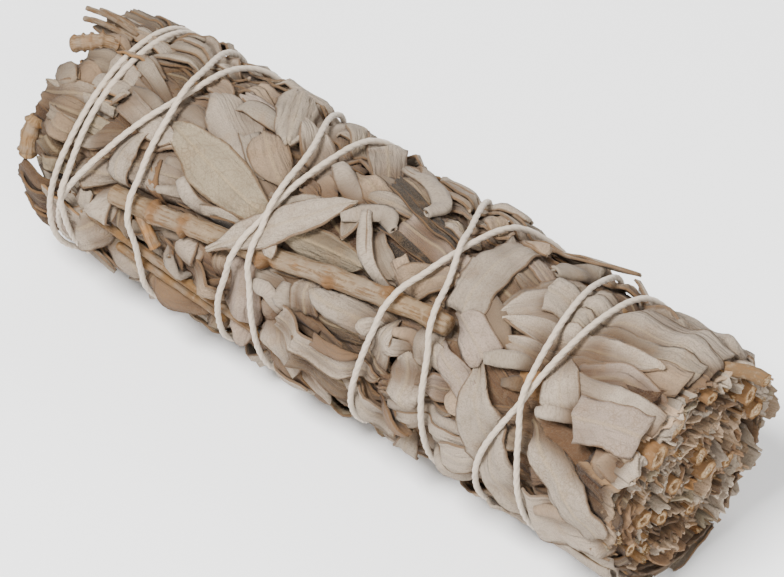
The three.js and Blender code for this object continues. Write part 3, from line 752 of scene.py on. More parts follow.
FORM_CHANCES = [("lance", 0.42), ("blunt", 0.16), ("fold", 0.16), ("roll", 0.13),
                ("strip", 0.08), ("fan", 0.05)]
TONE_CHANCES = [("light", 0.42), ("grey", 0.26), ("tan", 0.12), ("pink", 0.08),
                ("green", 0.06), ("brown", 0.04), ("dusk", 0.02)]


def pick(rng, chances):
    """One of the names, by its chance."""
    value = rng.random() * sum(chance for _, chance in chances)
    for name, chance in chances:
        value -= chance
        if value <= 0:
            return name
    return chances[-1][0]


def scattered(rng, rows, columns, widths, lengths, span=(0, 360), slant=26, plain=False):
    """Specs of leaves spread evenly over a stretch of the bunch, most of them along it."""
    specs = []
    for row in range(rows):
        for column in range(columns):
            x = CUT_X - (row + rng.uniform(-0.3, 0.3)) * 100 / rows
            turn = (column + rng.uniform(-0.35, 0.35) + 0.5 * (row % 2)) / columns
            degrees = span[0] + (span[1] - span[0]) * turn
            length = rng.uniform(*lengths)
            angle = math.radians(rng.normal(0, slant))
            if rng.random() < 0.12:
                angle += math.radians(rng.choice([-60, 60]))
            end = x - length * math.cos(angle)
            across = length * math.sin(angle) / ARC
            x = min(x, CUT_X + rng.uniform(-0.6, 0.8))
            end = max(end, TIP_X + rng.uniform(-0.4, 4.5))
            if abs(x - end) < 4 and x < -46:
                continue
            form = "lance" if plain else pick(rng, FORM_CHANCES)
            if plain and rng.random() < 0.3:
                form = "blunt"
            wide = rng.uniform(*widths) * (0.55 if form in ("roll", "strip") else 1)
            tone = pick(rng, TONE_CHANCES)
            middle_x, middle_degrees = (x + end) / 2, degrees + across / 2
            if not plain and in_gap(middle_x, middle_degrees):
                continue
            specs.append((form, tone, wide, x, degrees, end, degrees + across))
    return specs


# Meshes

class PieceMesh:
    """A mesh that grows by grids and tubes, with a tone and a place for its pattern."""

    def __init__(self):
        self.bm = bmesh.new()
        self.uv = self.bm.loops.layers.uv.new("UVMap")
        self.tone = self.bm.verts.layers.float_color.new("tone")
        self.spot = self.bm.verts.layers.float_vector.new("spot")

    def add_grid(self, points, tones, spots):
        """Adds a sheet: arrays of along by across points, with a tone and a spot for each."""
        along, across = points.shape[:2]
        made = bmesh.ops.create_grid(self.bm, x_segments=across - 1, y_segments=along - 1,
                                     size=1.0, calc_uvs=True)
        places = points.reshape(-1, 3)
        colours = np.broadcast_to(tones, (along, across, 4)).reshape(-1, 4)
        marks = spots.reshape(-1, 3)
        for vertex, co, colour, mark in zip(made["verts"], places, colours, marks):
            vertex.co = co
            vertex[self.tone] = colour
            vertex[self.spot] = mark
        return made["verts"]

    def add_tube(self, line, radii, tones, sides, ridges=None):
        """Adds a closed tube along a line of points in metres, with a radius at each."""
        line = np.asarray(line, float)
        count = len(line)
        tangents = np.gradient(line, axis=0)
        tangents /= np.linalg.norm(tangents, axis=1)[:, None]
        normal = np.cross(tangents[0], (0.31, 0.52, 0.79))
        normal /= np.linalg.norm(normal)
        turn = np.linspace(0, 2 * np.pi, sides + 1)
        rings = np.zeros((count, sides + 1, 3))
        for i in range(count):
            normal = normal - tangents[i] * np.dot(normal, tangents[i])
            normal /= np.linalg.norm(normal)
            binormal = np.cross(tangents[i], normal)
            reach = np.broadcast_to(radii[i], (sides + 1,)).copy()
            if ridges is not None:
                reach = reach * ridges[i]
            rings[i] = (line[i] + np.outer(np.cos(turn) * reach, normal)
                        + np.outer(np.sin(turn) * reach, binormal))
        rings[:, -1] = rings[:, 0]
        steps = np.linalg.norm(np.diff(line, axis=0), axis=1)
        along_mm = np.concatenate([[0], np.cumsum(steps)]) / MM
        spots = np.zeros((count, sides + 1, 3))
        spots[:, :, 0] = np.cos(turn) * np.max(radii) / MM
        spots[:, :, 1] = along_mm[:, None]
        spots[:, :, 2] = np.sin(turn) * np.max(radii) / MM
        self.add_rings(rings, tones, spots)

    def add_rings(self, rings, tones, spots):
        """Adds a tube whose rings each end where they begin, with closed ends."""
        count, width = rings.shape[:2]
        verts = self.add_grid(rings, tones, spots)
        seam = [verts[i * width + end] for end in (0, width - 1) for i in range(count)]
        bmesh.ops.remove_doubles(self.bm, verts=seam, dist=1e-7)
        edges = [edge for edge in self.bm.edges if edge.is_boundary]
        bmesh.ops.holes_fill(self.bm, edges=edges, sides=width)

    def finish(self, name, material, slot, node, thickness=None):
        """Makes the piece: sheets get a thickness in metres, and tubes need none."""
        if not thickness:
            bmesh.ops.recalc_face_normals(self.bm, faces=self.bm.faces)
        for face in self.bm.faces:
            face.smooth = True
        mesh = bpy.data.meshes.new(name)
        self.bm.to_mesh(mesh)
        self.bm.free()
        piece = bpy.data.objects.new(name, mesh)
        bpy.context.collection.objects.link(piece)
        mesh.materials.append(material)
        if thickness:
            solidify = piece.modifiers.new("Thickness", "SOLIDIFY")
            solidify.thickness = thickness
            solidify.offset = -1
            solidify.use_rim = True
        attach(piece, "root")
        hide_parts(node)


# Materials

class Shading:
    """A new material, with short ways to add nodes to it."""

    def __init__(self, name, roughness, sheen=0.0):
        self.material = bpy.data.materials.new(name)
        self.material.use_nodes = True
        self.nodes = self.material.node_tree.nodes
        self.links = self.material.node_tree.links
        self.shader = self.nodes["Principled BSDF"]
        self.shader.inputs["Roughness"].default_value = roughness
        self.shader.inputs["Specular IOR Level"].default_value = 0.15
        self.shader.inputs["Sheen Weight"].default_value = sheen
        self.shader.inputs["Sheen Roughness"].default_value = 0.6

    def node(self, kind, **settings):
        """Adds a node, and sets its inputs and properties."""
        node = self.nodes.new("ShaderNode" + kind)
        for key, value in settings.items():
            if key in node.inputs:
                node.inputs[key].default_value = value
            else:
                setattr(node, key, value)
        return node

    def attribute(self, name):
        """What each point of the mesh holds under that name."""
        return self.node("Attribute", attribute_name=name)

    def apart(self, vector):
        """The three parts of a vector."""
        node = self.node("SeparateXYZ")
        self.links.new(vector, node.inputs[0])
        return node.outputs

    def stretched(self, vector, scale):
        """Places scaled along each axis, for a pattern that is long one way."""
        node = self.node("Mapping", Scale=scale)
        self.links.new(vector, node.inputs["Vector"])
        return node.outputs["Vector"]

    def noise(self, vector, **settings):
        """A cloudy pattern over places, from 0 to 1."""
        node = self.node("TexNoise", **settings)
        self.links.new(vector, node.inputs["Vector"])
        return node.outputs["Fac"]

    def maths(self, operation, *values):
        """The result of an operation on numbers and sockets."""
        node = self.node("Math", operation=operation)
        for socket, value in zip(node.inputs, values):
            if isinstance(value, (int, float)):
                socket.default_value = value
            else:
                self.links.new(value, socket)
        return node.outputs[0]

    def times(self, first, second):
        return self.maths("MULTIPLY", first, second)

    def ramp(self, value, low, high):
        """A smooth step of the value, from 0 at low to 1 at high."""
        node = self.node("MapRange", interpolation_type="SMOOTHSTEP")
        node.inputs["From Min"].default_value = low
        node.inputs["From Max"].default_value = high
        self.links.new(value, node.inputs["Value"])
        return node.outputs[0]

    def tinted(self, colour, factor, tint):
        """The colour with some of a tint mixed in."""
        node = self.node("Mix", data_type="RGBA")
        self.links.new(colour, node.inputs["A"])
        node.inputs["B"].default_value = (*linear(tint), 1)
        self.links.new(factor, node.inputs["Factor"])
        return node.outputs["Result"]

    def finish(self, colour, relief, strength, distance):
        """Gives the surface its colour and a slight relief."""
        self.links.new(colour, self.shader.inputs["Base Color"])
        bump = self.node("Bump", Strength=strength, Distance=distance)
        self.links.new(relief, bump.inputs["Height"])
        self.links.new(bump.outputs["Normal"], self.shader.inputs["Normal"])
        return self.material


def leaf_material(name, edge_tint, vein_strength):
    """Dried sage leaf: each leaf's own tone with the shade painted into it, a fine net of veins,
    mottling and dry edges.
    """
    leaf = Shading(name, 0.88, sheen=0.05)
    tone = leaf.attribute("tone")
    ribbed = tone.outputs["Alpha"]
    spot = leaf.attribute("spot").outputs["Vector"]
    aside, along, _ = leaf.apart(spot)
    across = leaf.maths("ABSOLUTE", aside)

    net = leaf.node("TexVoronoi", feature="DISTANCE_TO_EDGE", Scale=1.5)
    leaf.links.new(spot, net.inputs["Vector"])
    net_line = leaf.ramp(net.outputs["Distance"], 0.13, 0.02)

    slanted = leaf.maths("MULTIPLY_ADD", across, -0.8, along)
    bent = leaf.noise(spot, Scale=0.35, Detail=2.0)
    slanted = leaf.maths("MULTIPLY_ADD", bent, 2.6, slanted)
    wave = leaf.maths("SINE", leaf.times(slanted, 2.3))
    side_vein = leaf.times(leaf.ramp(wave, 0.86, 1.0), ribbed)
    midrib = leaf.times(leaf.ramp(across, 0.42, 0.05), ribbed)

    mottle = leaf.noise(spot, Scale=0.32, Detail=5.0, Roughness=0.6)
    grain = leaf.noise(spot, Scale=5.5, Detail=3.0, Roughness=0.7)
    warm = leaf.times(leaf.ramp(mottle, 0.5, 0.72), 0.26)
    colour = leaf.tinted(tone.outputs["Color"], warm, "#7f6140")
    shade = leaf.times(leaf.ramp(mottle, 0.46, 0.28), 0.3)
    colour = leaf.tinted(colour, shade, "#665745")
    net_seen = leaf.maths("MULTIPLY_ADD", ribbed, 0.8, 0.12)
    net_seen = leaf.times(net_seen, leaf.ramp(mottle, 0.36, 0.6))
    lines = leaf.maths("MAXIMUM", leaf.times(net_line, net_seen), leaf.times(side_vein, 0.7))
    colour = leaf.tinted(colour, leaf.times(lines, vein_strength), "#64533d")
    colour = leaf.tinted(colour, leaf.times(midrib, 0.45), "#988464")
    grain_shade = leaf.times(leaf.ramp(grain, 0.56, 0.36), 0.4)
    colour = leaf.tinted(colour, grain_shade, "#5c4e3e")

    uv = leaf.node("UVMap", uv_map="UVMap")
    u, _, _ = leaf.apart(uv.outputs["UV"])
    from_middle = leaf.maths("ABSOLUTE", leaf.maths("SUBTRACT", u, 0.5))
    rough_edge = leaf.maths("MULTIPLY_ADD", mottle, 0.12, from_middle)
    rim = leaf.times(leaf.ramp(rough_edge, 0.5, 0.56), 0.85)
    colour = leaf.tinted(colour, rim, edge_tint)

    wrinkle = leaf.noise(leaf.stretched(spot, (1.0, 0.12, 1.0)),
                         Scale=1.6, Detail=3.0, Distortion=0.4)
    relief = leaf.maths("MULTIPLY_ADD", lines, -0.45, grain)
    relief = leaf.maths("MULTIPLY_ADD", midrib, 1.0, relief)
    relief = leaf.maths("MULTIPLY_ADD", wrinkle, 4.0, relief)
    return leaf.finish(colour, relief, 0.9, 0.0002)


def wood_material(name, fibre_tint, fibre_scale):
    """Woody stem: the tone of each part, long fibres, and darker and paler flecks."""
    wood = Shading(name, 0.78)
    spot = wood.attribute("spot").outputs["Vector"]
    fibres = wood.noise(wood.stretched(spot, (1.0, 0.14, 1.0)),
                        Scale=fibre_scale, Detail=4.0, Roughness=0.65)
    flecks = wood.noise(spot, Scale=0.9, Detail=4.0, Roughness=0.7)
    dark = wood.times(wood.ramp(fibres, 0.55, 0.38), 0.75)
    colour = wood.tinted(wood.attribute("tone").outputs["Color"], dark, fibre_tint)
    fleck = wood.times(wood.ramp(flecks, 0.52, 0.72), 0.45)
    colour = wood.tinted(colour, fleck, "#75502c")
    pale = wood.times(wood.ramp(flecks, 0.5, 0.3), 0.4)
    colour = wood.tinted(colour, pale, "#917f68")
    return wood.finish(colour, fibres, 0.9, 0.0003)


def string_material():
    """Undyed cotton: fine fibres along each ply, a little darker between them."""
    cotton = Shading("Cotton string", 0.85, sheen=0.25)
    spot = cotton.attribute("spot").outputs["Vector"]
    fibres = cotton.noise(cotton.stretched(spot, (2.2, 0.5, 2.2)),
                          Scale=4.0, Detail=4.0, Roughness=0.7)
    shade = cotton.times(cotton.ramp(fibres, 0.56, 0.36), 0.35)
    colour = cotton.tinted(cotton.attribute("tone").outputs["Color"], shade, "#b6aa99")
    return cotton.finish(colour, fibres, 0.5, 0.00008)


# Sizes and colours that a user would change

class SageSizes(bpy.types.PropertyGroup):
    leaf_thickness: bpy.props.FloatProperty(
        name="Leaf thickness", description="Thickness of a dried leaf",
        default=0.00034, unit="LENGTH", precision=5)
    string_diameter: bpy.props.FloatProperty(
        name="String diameter", description="Thickness of the cotton string",
        default=0.00115, unit="LENGTH", precision=5)
    twist_length: bpy.props.FloatProperty(
        name="Twist length", description="Length of one turn of the string's plies",
        default=0.0046, unit="LENGTH", precision=5)


class SageColours(bpy.types.PropertyGroup):
    string: bpy.props.FloatVectorProperty(
        name="String", description="Colour of the cotton string",
        subtype="COLOR", size=3, min=0, max=1, default=linear("#ae9e8b"))
    bark: bpy.props.FloatVectorProperty(
        name="Bark", description="Colour of the side twig's bark",
        subtype="COLOR", size=3, min=0, max=1, default=linear("#76634c"))
    stem: bpy.props.FloatVectorProperty(
        name="Stem", description="Colour of the cut stems",
        subtype="COLOR", size=3, min=0, max=1, default=linear("#6f5236"))
    floor: bpy.props.FloatVectorProperty(
        name="Floor", description="Colour of the floor",
        subtype="COLOR", size=3, min=0, max=1, default=(0.95, 0.95, 0.95))


# Operators

LOWEST = 0.36  # keeps a leaf with its thickness above the floor


def add_leaves(piece, leaves, reach, top, beside):
    """Adds leaves to a piece, pressed between the inner radius and how far out they reach, with
    shade painted into their tone where they lie deep or beside a higher leaf.
    """
    for leaf in leaves:
        limit = Chart.sample(reach, leaf.x, leaf.degrees)
        highest = Chart.sample(top, leaf.x, leaf.degrees)
        radius = pressed_radius(limit, highest - leaf.heights)
        # painted shade: a leaf darkens beside a higher leaf and where it lies deep below the top
        # of the bunch
        crevice = smoothstep(Chart.sample(beside, leaf.x, leaf.degrees) - leaf.heights, 0.5, 2.2)
        open_to_light = (1 - 0.6 * crevice) * (1 - smoothstep(limit - radius, 0.6, 2.6))
        add_leaf(piece, leaf, radius, 1 - open_to_light)


def pressed_radius(limit, depth):
    """Leaves near the top keep their heights; what lies deeper is pressed together."""
    room = np.maximum(limit - INNER_RADIUS, 1.2)
    return limit - room * (1 - np.exp(-np.maximum(depth, -0.2) / room))


def add_leaf(piece, leaf, radius, shade):
    """Adds a leaf at its distance from the axis, darker where it lies in shade."""
    points = place(leaf.x, leaf.degrees, radius)
    points[..., 2] = np.maximum(points[..., 2], LOWEST * MM)
    spots = np.stack([leaf.across_mm, leaf.along_mm,
                      np.full(leaf.shape, 40 * leaf.seed)], axis=-1)
    tones = np.empty((*leaf.shape, 4))
    shade = shade[..., None]
    browned = smoothstep(-leaf.x, 38, 54)[..., None] * TIP_BROWNING
    tones[..., :3] = np.array(leaf.tone) * (1 - shade + shade * SHADE) * (1 - browned)
    tones[..., 3] = leaf.rib
    piece.add_grid(points, tones, spots)


LEAF_TOP = Chart()  # how far from the axis the leaves reach, once they are laid
PRESS_CELLS = (5, 3)  # how far round a place the leaves are pressed together alike
TWIG_TOP = 1.75  # radius of the side twig under the leaves that cross it
BRIDGE_GAP = 0.4
LOOSE_DROP = 0.6


class SAGE_OT_outer_leaves(bpy.types.Operator):
    """Lays the leaves round the bunch, layer on layer, and presses them together"""

    bl_idname = "sage.outer_leaves"
    bl_label = "Outer leaves"

    def execute(self, context):
        thickness = context.scene.sage_sizes.leaf_thickness
        rng = np.random.default_rng(11)
        chart = Chart()
        layers = {
            "packed_leaves": scattered(rng, 5, 12, (8, 11), (22, 30), plain=True, slant=14),
            "under_leaves": scattered(rng, 6, 12, (6, 9), (16, 24), plain=True, slant=20),
            "middle_leaves": scattered(rng, 8, 17, (2.8, 5.6), (12, 23), slant=18),
            "far_leaves": scattered(rng, 8, 12, (4, 8.5), (10, 22), span=(108, 326))
            + scattered(rng, 10, 11, (2.5, 5), (6, 13), span=(112, 322), slant=40),
            "near_leaves": LEAVES,
        }
        laid = {}
        for name, specs in layers.items():
            inner = name in ("packed_leaves", "under_leaves")
            step = INNER_LEAF_STEP if inner else NEAR_LEAF_STEP
            laid[name] = [Leaf(spec, rng, step) for spec in specs]
            for leaf in laid[name]:
                leaf.lie_on(chart)
        reach, under_string = outer_radius()
        top = softened(widened(chart.heights, PRESS_CELLS[0]), PRESS_CELLS[1])
        beside = widened(chart.heights, 1)
        material = leaf_material("Dried sage leaf", "#5a432c", 0.36)
        for name, leaves in laid.items():
            mesh = PieceMesh()
            add_leaves(mesh, leaves, reach, top, beside)
            mesh.finish(name, material, "dried_leaf", "leaf_bunch", thickness)
        real = Chart()
        real.heights = pressed_radius(reach, top - chart.heights)
        self.add_bridge_leaves(rng, real, under_string, material, thickness)
        return {"FINISHED"}

    @staticmethod
    def add_bridge_leaves(rng, real, under_string, material, thickness):
        """Adds the leaves that lie over the side twig, at their real distance from the axis."""
        path = smooth_path(SIDE_TWIG, np.linspace(0, 1, 200))
        for offset in np.linspace(-1.7, 1.7, 15):
            height = TWIG_RADIUS + math.sqrt(TWIG_TOP ** 2 - offset ** 2)
            real.raise_to(path[:, 0], path[:, 1] + offset / ARC, np.full(200, height))
        mesh = PieceMesh()
        for spec in BRIDGE_LEAVES:
            leaf = Leaf(spec, rng, BRIDGE_LEAF_STEP)
            leaf.lift = leaf.lift * 0.6
            leaf.sink = leaf.sink * 0.5
            leaf.lie_on(real, gap=BRIDGE_GAP)
            limit = Chart.sample(under_string, leaf.x, leaf.degrees)
            add_leaf(mesh, leaf, np.minimum(leaf.heights, limit), np.zeros(leaf.shape))
        leaf = Leaf(LOOSE_LEAF, rng, BRIDGE_LEAF_STEP)
        middle = np.interp(leaf.x, LOOSE_LEAF[3::2], LOOSE_RADIUS)
        add_leaf(mesh, leaf, middle + leaf.lift - LOOSE_DROP, np.zeros(leaf.shape))
        LEAF_TOP.heights = widened(real.heights, 2)
        mesh.finish("bridge_leaves", material, "dried_leaf", "leaf_bunch", thickness)


# Cut stems: y and z of the axis, radius, and x of the hidden and the cut end
STEMS = [
    (-8.5, 27.8, 1.75, 20, 50.6),
    (-4.0, 29.7, 1.6, -20, 50.2),
    (9.4, 25.6, 1.3, -30, 51.6),
    (1.9, 30.6, 1.0, -8, 50.9),
    (0.8, 20.2, 1.2, -36, 50.4),
    (-3.8, 18, 1.3, -40, 49.8),
    (8, 13, 1.2, -16, 49.6),
    (3, 15.4, 1.5, -34, 50.0),
    (-10.3, 16.8, 1.3, -26, 49.9),
    (-5.5, 12.8, 1.1, -14, 49.2),
    (-8.8, 9.6, 0.9, -10, 49.0),
    (-12.3, 12.6, 1.1, -4, 49.4),
    (1, 9, 1.0, -30, 48.9),
    (12.8, 19, 1.2, -24, 50.2),
]
CUT_STICK = (6.6, 30.0, 0.95, 12, 55.2)


def around_stems(y, z, margin):
    """Moves points of the cut face off the stems, so that the leaves wrap round them."""
    for stem_y, stem_z, radius, *_ in [*STEMS, CUT_STICK]:
        dy, dz = y - stem_y, z - stem_z
        distance = np.maximum(np.hypot(dy, dz), 1e-3)
        keep = radius + margin
        push = np.where(distance < keep, keep / distance, 1.0)
        y, z = stem_y + dy * push, stem_z + dz * push
    return y, z


# Gaps between the leaves of the cut face: y and z of the middle, and reach
CUT_HOLES = [
    (8.0, 22.4, 1.7), (-1.6, 27.0, 1.3), (-5.2, 13.2, 1.5), (2.0, 21.4, 1.2), (-8.4, 22.7, 1.5),
    (13.5, 15.7, 1.6), (4.5, 7.1, 1.4), (-8.8, 8.2, 1.2), (5.4, 18.4, 1.3), (11.2, 22.0, 1.2),
]
HOLE_DEPTH = 3.4

CUT_RINGS = np.arange(2.4, 16.3, 0.8)  # distances from the axis at which leaves are wrapped
CURL_COUNT = 60
CUT_FACE_X = 49.2
CUT_FACE_RADIUS = 15.9
RIBBON_DEPTH = 4.6  # how far in a cut leaf is made
RIBBON_ROWS = 6
CUT_TONE_CHANCES = [("light", 0.2), ("grey", 0.17), ("tan", 0.34), ("green", 0.06),
                    ("straw", 0.02), ("brown", 0.21)]


class SAGE_OT_cut_end(bpy.types.Operator):
    """Adds the leaves whose cut edges show round the stems at the cut end"""

    bl_idname = "sage.cut_end"
    bl_label = "Cut end"

    def execute(self, context):
        thickness = context.scene.sage_sizes.leaf_thickness
        rng = np.random.default_rng(23)
        mesh = PieceMesh()
        for ring in CUT_RINGS:
            turn = rng.uniform(0, 360)
            end = turn + 360
            while turn < end:
                span = math.degrees(rng.uniform(3.5, 10) / ring)
                self.add_wrap(mesh, rng, ring, turn, span)
                turn += span * rng.uniform(0.8, 1.1)
        for _ in range(CURL_COUNT):
            self.add_curl(mesh, rng)
        for stem in STEMS:
            self.add_sleeve(mesh, rng, stem)
        material = leaf_material("Cut leaf edges", "#86694a", 0.15)
        mesh.finish("cut_end_leaves", material, "dried_leaf", "leaf_bunch", thickness)
        return {"FINISHED"}

    @staticmethod
    def add_ribbon(mesh, rng, y, z, tone):
        """Adds a leaf that runs in from the cut face, with a ragged cut edge."""
        y, z = around_stems(y, z, 0.42)
        from_axis = np.hypot(y, z - BUNCH_RADIUS)
        limit = np.minimum(1.0, CUT_FACE_RADIUS / np.maximum(from_axis, 1))
        y, z = y * limit, BUNCH_RADIUS + (z - BUNCH_RADIUS) * limit
        count = len(y)
        t = np.linspace(0, 1, count)
        face = CUT_FACE_X + 0.045 * (z - BUNCH_RADIUS) + 0.05 * y
        edge = face + rng.uniform(-2.6, 1.0)
        edge = edge + 0.9 * np.sin(0.62 * y + 1.0) * np.cos(0.55 * z) + 0.4 * np.sin(1.7 * z - y)
        edge = edge + wavy(rng, t, count / 7, 0.5) + wavy(rng, t, count / 2.5, 0.22)
        for hole_y, hole_z, wide in CUT_HOLES:
            edge = edge - HOLE_DEPTH * hill(np.hypot(y - hole_y, z - hole_z), wide)
        steps = np.linspace(0, 1, RIBBON_ROWS) ** 0.8
        x = (edge[None, :] - RIBBON_DEPTH) + RIBBON_DEPTH * steps[:, None]
        bend = rng.normal(0, 0.25, 2)
        flare = (1 - steps)[:, None]
        points = np.stack([x, y[None, :] * (1 - 0.05 * flare) + bend[0] * flare,
                           z[None, :] + (BUNCH_RADIUS - z[None, :]) * 0.05 * flare
                           + bend[1] * flare], axis=-1) * MM
        length = np.concatenate([[0], np.cumsum(np.hypot(np.diff(y), np.diff(z)))])
        spots = np.stack(np.broadcast_arrays(
            length[None, :], RIBBON_DEPTH * steps[:, None], 60 * rng.random()), axis=-1)
        # painted shade: a cut leaf darkens the further in it lies behind the cut face
        shade = smoothstep(face[None, :] - x, -0.5, 2.6)[:, :, None] ** 0.8
        tones = np.ones((RIBBON_ROWS, count, 4))
        tones[..., :3] = np.array(tone) * (1 - shade + shade * SHADE * 0.5)
        tones[..., 3] = 0
        mesh.add_grid(points, tones, spots)

    @staticmethod
    def cut_tone(rng):
        """The tone of a cut leaf."""
        return np.array(linear(TONES[pick(rng, CUT_TONE_CHANCES)])) * rng.uniform(0.85, 1.9)

    def add_wrap(self, mesh, rng, ring, turn, span):
        """A leaf wrapped round the axis, sometimes with a fold in it."""
        length = math.radians(span) * ring
        count = int(np.clip(length / 0.28, 16, 40))
        t = np.linspace(0, 1, count)
        pleated = rng.random() < 0.35
        folds = length / (rng.uniform(1.0, 1.6) if pleated else rng.uniform(2.2, 5.0))
        sway = rng.uniform(0, 0.3) / max(folds, 1)
        angle = np.radians(turn + span * (t + sway * np.sin(2 * math.pi * folds * t
                                                            + rng.uniform(0, 6))))
        size = rng.uniform(0.5, 0.9) if pleated else rng.uniform(0.3, 1.1)
        radius = ring + wavy(rng, t, folds, size) + rng.uniform(-1.6, 1.6) * t
        tone = self.cut_tone(rng)
        self.add_ribbon(mesh, rng, radius * np.sin(angle),
                        BUNCH_RADIUS + radius * np.cos(angle), tone)
        if rng.random() < 0.35:
            inner = radius - rng.uniform(0.45, 0.6)
            self.add_ribbon(mesh, rng, inner * np.sin(angle),
                            BUNCH_RADIUS + inner * np.cos(angle), tone)

    def add_curl(self, mesh, rng):
        """A rolled leaf seen from its cut end."""
        ring = math.sqrt(rng.uniform(3.0 ** 2, 14.6 ** 2))
        angle = rng.uniform(0, 2 * math.pi)
        t = np.linspace(0, 1, 18)
        size = rng.uniform(0.55, 1.35)
        turns = rng.uniform(0.8, 1.5)
        twist = rng.uniform(0, 2 * math.pi) + rng.choice([-1, 1]) * 2 * math.pi * turns * t
        radius = size * (1 - 0.45 * t)
        squash = rng.uniform(0.55, 1.0)
        y = radius * np.cos(twist)
        z = radius * np.sin(twist) * squash
        lean = rng.uniform(0, math.pi)
        turned_y = y * math.cos(lean) - z * math.sin(lean)
        turned_z = y * math.sin(lean) + z * math.cos(lean)
        self.add_ribbon(mesh, rng, turned_y + ring * math.sin(angle),
                        BUNCH_RADIUS + turned_z + ring * math.cos(angle), self.cut_tone(rng))

    def add_sleeve(self, mesh, rng, stem):
        """A leaf wrapped most of the way round a stem."""
        stem_y, stem_z, radius, *_ = stem
        t = np.linspace(0, 1, 20)
        angle = rng.uniform(0, 2 * math.pi) + t * rng.uniform(3.2, 5.2)
        reach = radius + 0.55 + wavy(rng, t, 1.5, 0.25) + 0.5 * t
        self.add_ribbon(mesh, rng, stem_y + reach * np.cos(angle),
                        stem_z + reach * np.sin(angle), self.cut_tone(rng))


TIP_COUNT = 230
TIP_REACH_X = -56.6
TIP_ROOT_X = -43
INSIDE_X = (-49, 45.4)
INSIDE_RADIUS = 12.9
INSIDE_SIDES = 48


class SAGE_OT_tip_end(bpy.types.Operator):
    """Adds the leaf tips that close the tip end, and the leaves packed inside the bunch"""

    bl_idname = "sage.tip_end"
    bl_label = "Tip end and inside"

    def execute(self, context):
        thickness = context.scene.sage_sizes.leaf_thickness
        rng = np.random.default_rng(37)
        mesh = PieceMesh()
        for index in range(TIP_COUNT):
            self.add_tip(mesh, rng, index)
        material = leaf_material("Leaf tips", "#78562f", 0.28)
        mesh.finish("tip_leaves", material, "dried_leaf", "leaf_bunch", thickness)
        self.add_inside(rng, material)
        return {"FINISHED"}

    @staticmethod
    def add_tip(mesh, rng, index):
        """A leaf tip that stands out of the tip end and leans in over it."""
        ring = math.sqrt(rng.uniform(0.5, 15.6 ** 2))
        middle = rng.uniform(0, 360)
        wide = rng.uniform(1.6, 5.0)
        t = np.linspace(0, 1, 15)
        side = np.linspace(-1, 1, 9)
        share = width_share(t, "torn", "point" if index % 3 else "round")
        section = rng.uniform(-0.9, 1.3) * (1 - side ** 2) + rng.uniform(-0.4, 0.4) * side ** 3
        end = TIP_REACH_X + rng.uniform(0, 3.6) + 0.08 * ring
        x = TIP_ROOT_X + (end - TIP_ROOT_X) * t
        lean = rng.uniform(0.2, 3.0) * smoothstep(t, 0.4, 1.0) * min(ring / 6, 1)
        roll = math.radians(rng.normal(0, 28))
        out = section[None, :] * share[:, None] + 0.25 * wavy(rng, t, 2, 1)[:, None]
        off = side[None, :] * share[:, None] * wide / 2
        radial = ring - lean[:, None] + out * math.cos(roll) + off * math.sin(roll)
        tangential = off * math.cos(roll) - out * math.sin(roll)
        angle = math.radians(middle) + rng.normal(0, 0.12) * t[:, None]
        y = radial * np.sin(angle) + tangential * np.cos(angle)
        z = BUNCH_RADIUS + radial * np.cos(angle) - tangential * np.sin(angle)
        ragged = wavy(rng, side, 2, 0.35)[None, :] * smoothstep(t, 0.6, 1)[:, None]
        points = np.stack([np.broadcast_to(x[:, None], y.shape) + ragged, y, z], axis=-1)
        spots = np.stack(np.broadcast_arrays(off, 12 * t[:, None], 50 * rng.random()), axis=-1)
        tone = np.array(linear(TONES[pick(rng, TONE_CHANCES)])) * rng.uniform(0.8, 1.05)
        mesh.add_grid(points * MM, np.array((*tone, rng.random())), spots)

    @staticmethod
    def add_inside(rng, material):
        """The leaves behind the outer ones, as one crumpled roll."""
        mesh = PieceMesh()
        count = 80
        line = np.zeros((count, 3))
        t = np.linspace(0, 1, count)
        line[:, 0] = INSIDE_X[0] + (INSIDE_X[1] - INSIDE_X[0]) * t
        line[:, 2] = BUNCH_RADIUS
        radii = np.minimum(INSIDE_RADIUS, 6 + 60 * np.minimum(t, 1 - t) ** 0.6)
        turn = np.linspace(0, 2 * math.pi, INSIDE_SIDES + 1)
        ridges = np.ones((count, INSIDE_SIDES + 1))
        for _ in range(40):
            at, phase, waves = rng.random(), rng.uniform(0, 2 * math.pi), rng.integers(3, 14)
            fade = hill(t - at, 0.12)[:, None]
            ridges -= 0.012 * fade * (1 + np.sin(waves * turn + phase))[None, :]
        ridges[:, -1] = ridges[:, 0]
        # painted shade: the roll's dark tone stands for the shade deep inside the bunch
        tone = (*linear("#5d4d3c"), 0.0)
        mesh.add_tube(line * MM, radii * MM, np.array(tone), INSIDE_SIDES, ridges)
        mesh.finish("inner_leaves", material, "dried_leaf", "leaf_bunch")


# Rings of a stem's cut face, from the bark in: how far out they stand, their share of the
# stem's radius, and their colour
CUT_FACE_RINGS = [(0.05, 0.93, "#755636"), (-0.06, 0.84, "#977853"), (0.04, 0.6, "#b39a78"),
                  (0.0, 0.36, "#8f7150")]
# a hollow pith's dark wall and near-black floor are painted shade of the hole, which runs deeper
# than the mesh
HOLLOW_PITH = [(-0.5, 0.3, "#6a4b2d"), (-0.9, 0.22, "#3a281a")]
FULL_PITH = [(0.06, 0.2, "#c9b89c"), (0.03, 0.08, "#b7a382")]
STEM_SIDES = 20
STICK_BARK = "#655039"
STICK_LEAN = (1.2, 2.1)
SPLINTER_COUNT = 34
SPLINTER_BARKS = ["#7a5a38", "#6b4c2c", "#8a6c4a", "#5a3d22"]


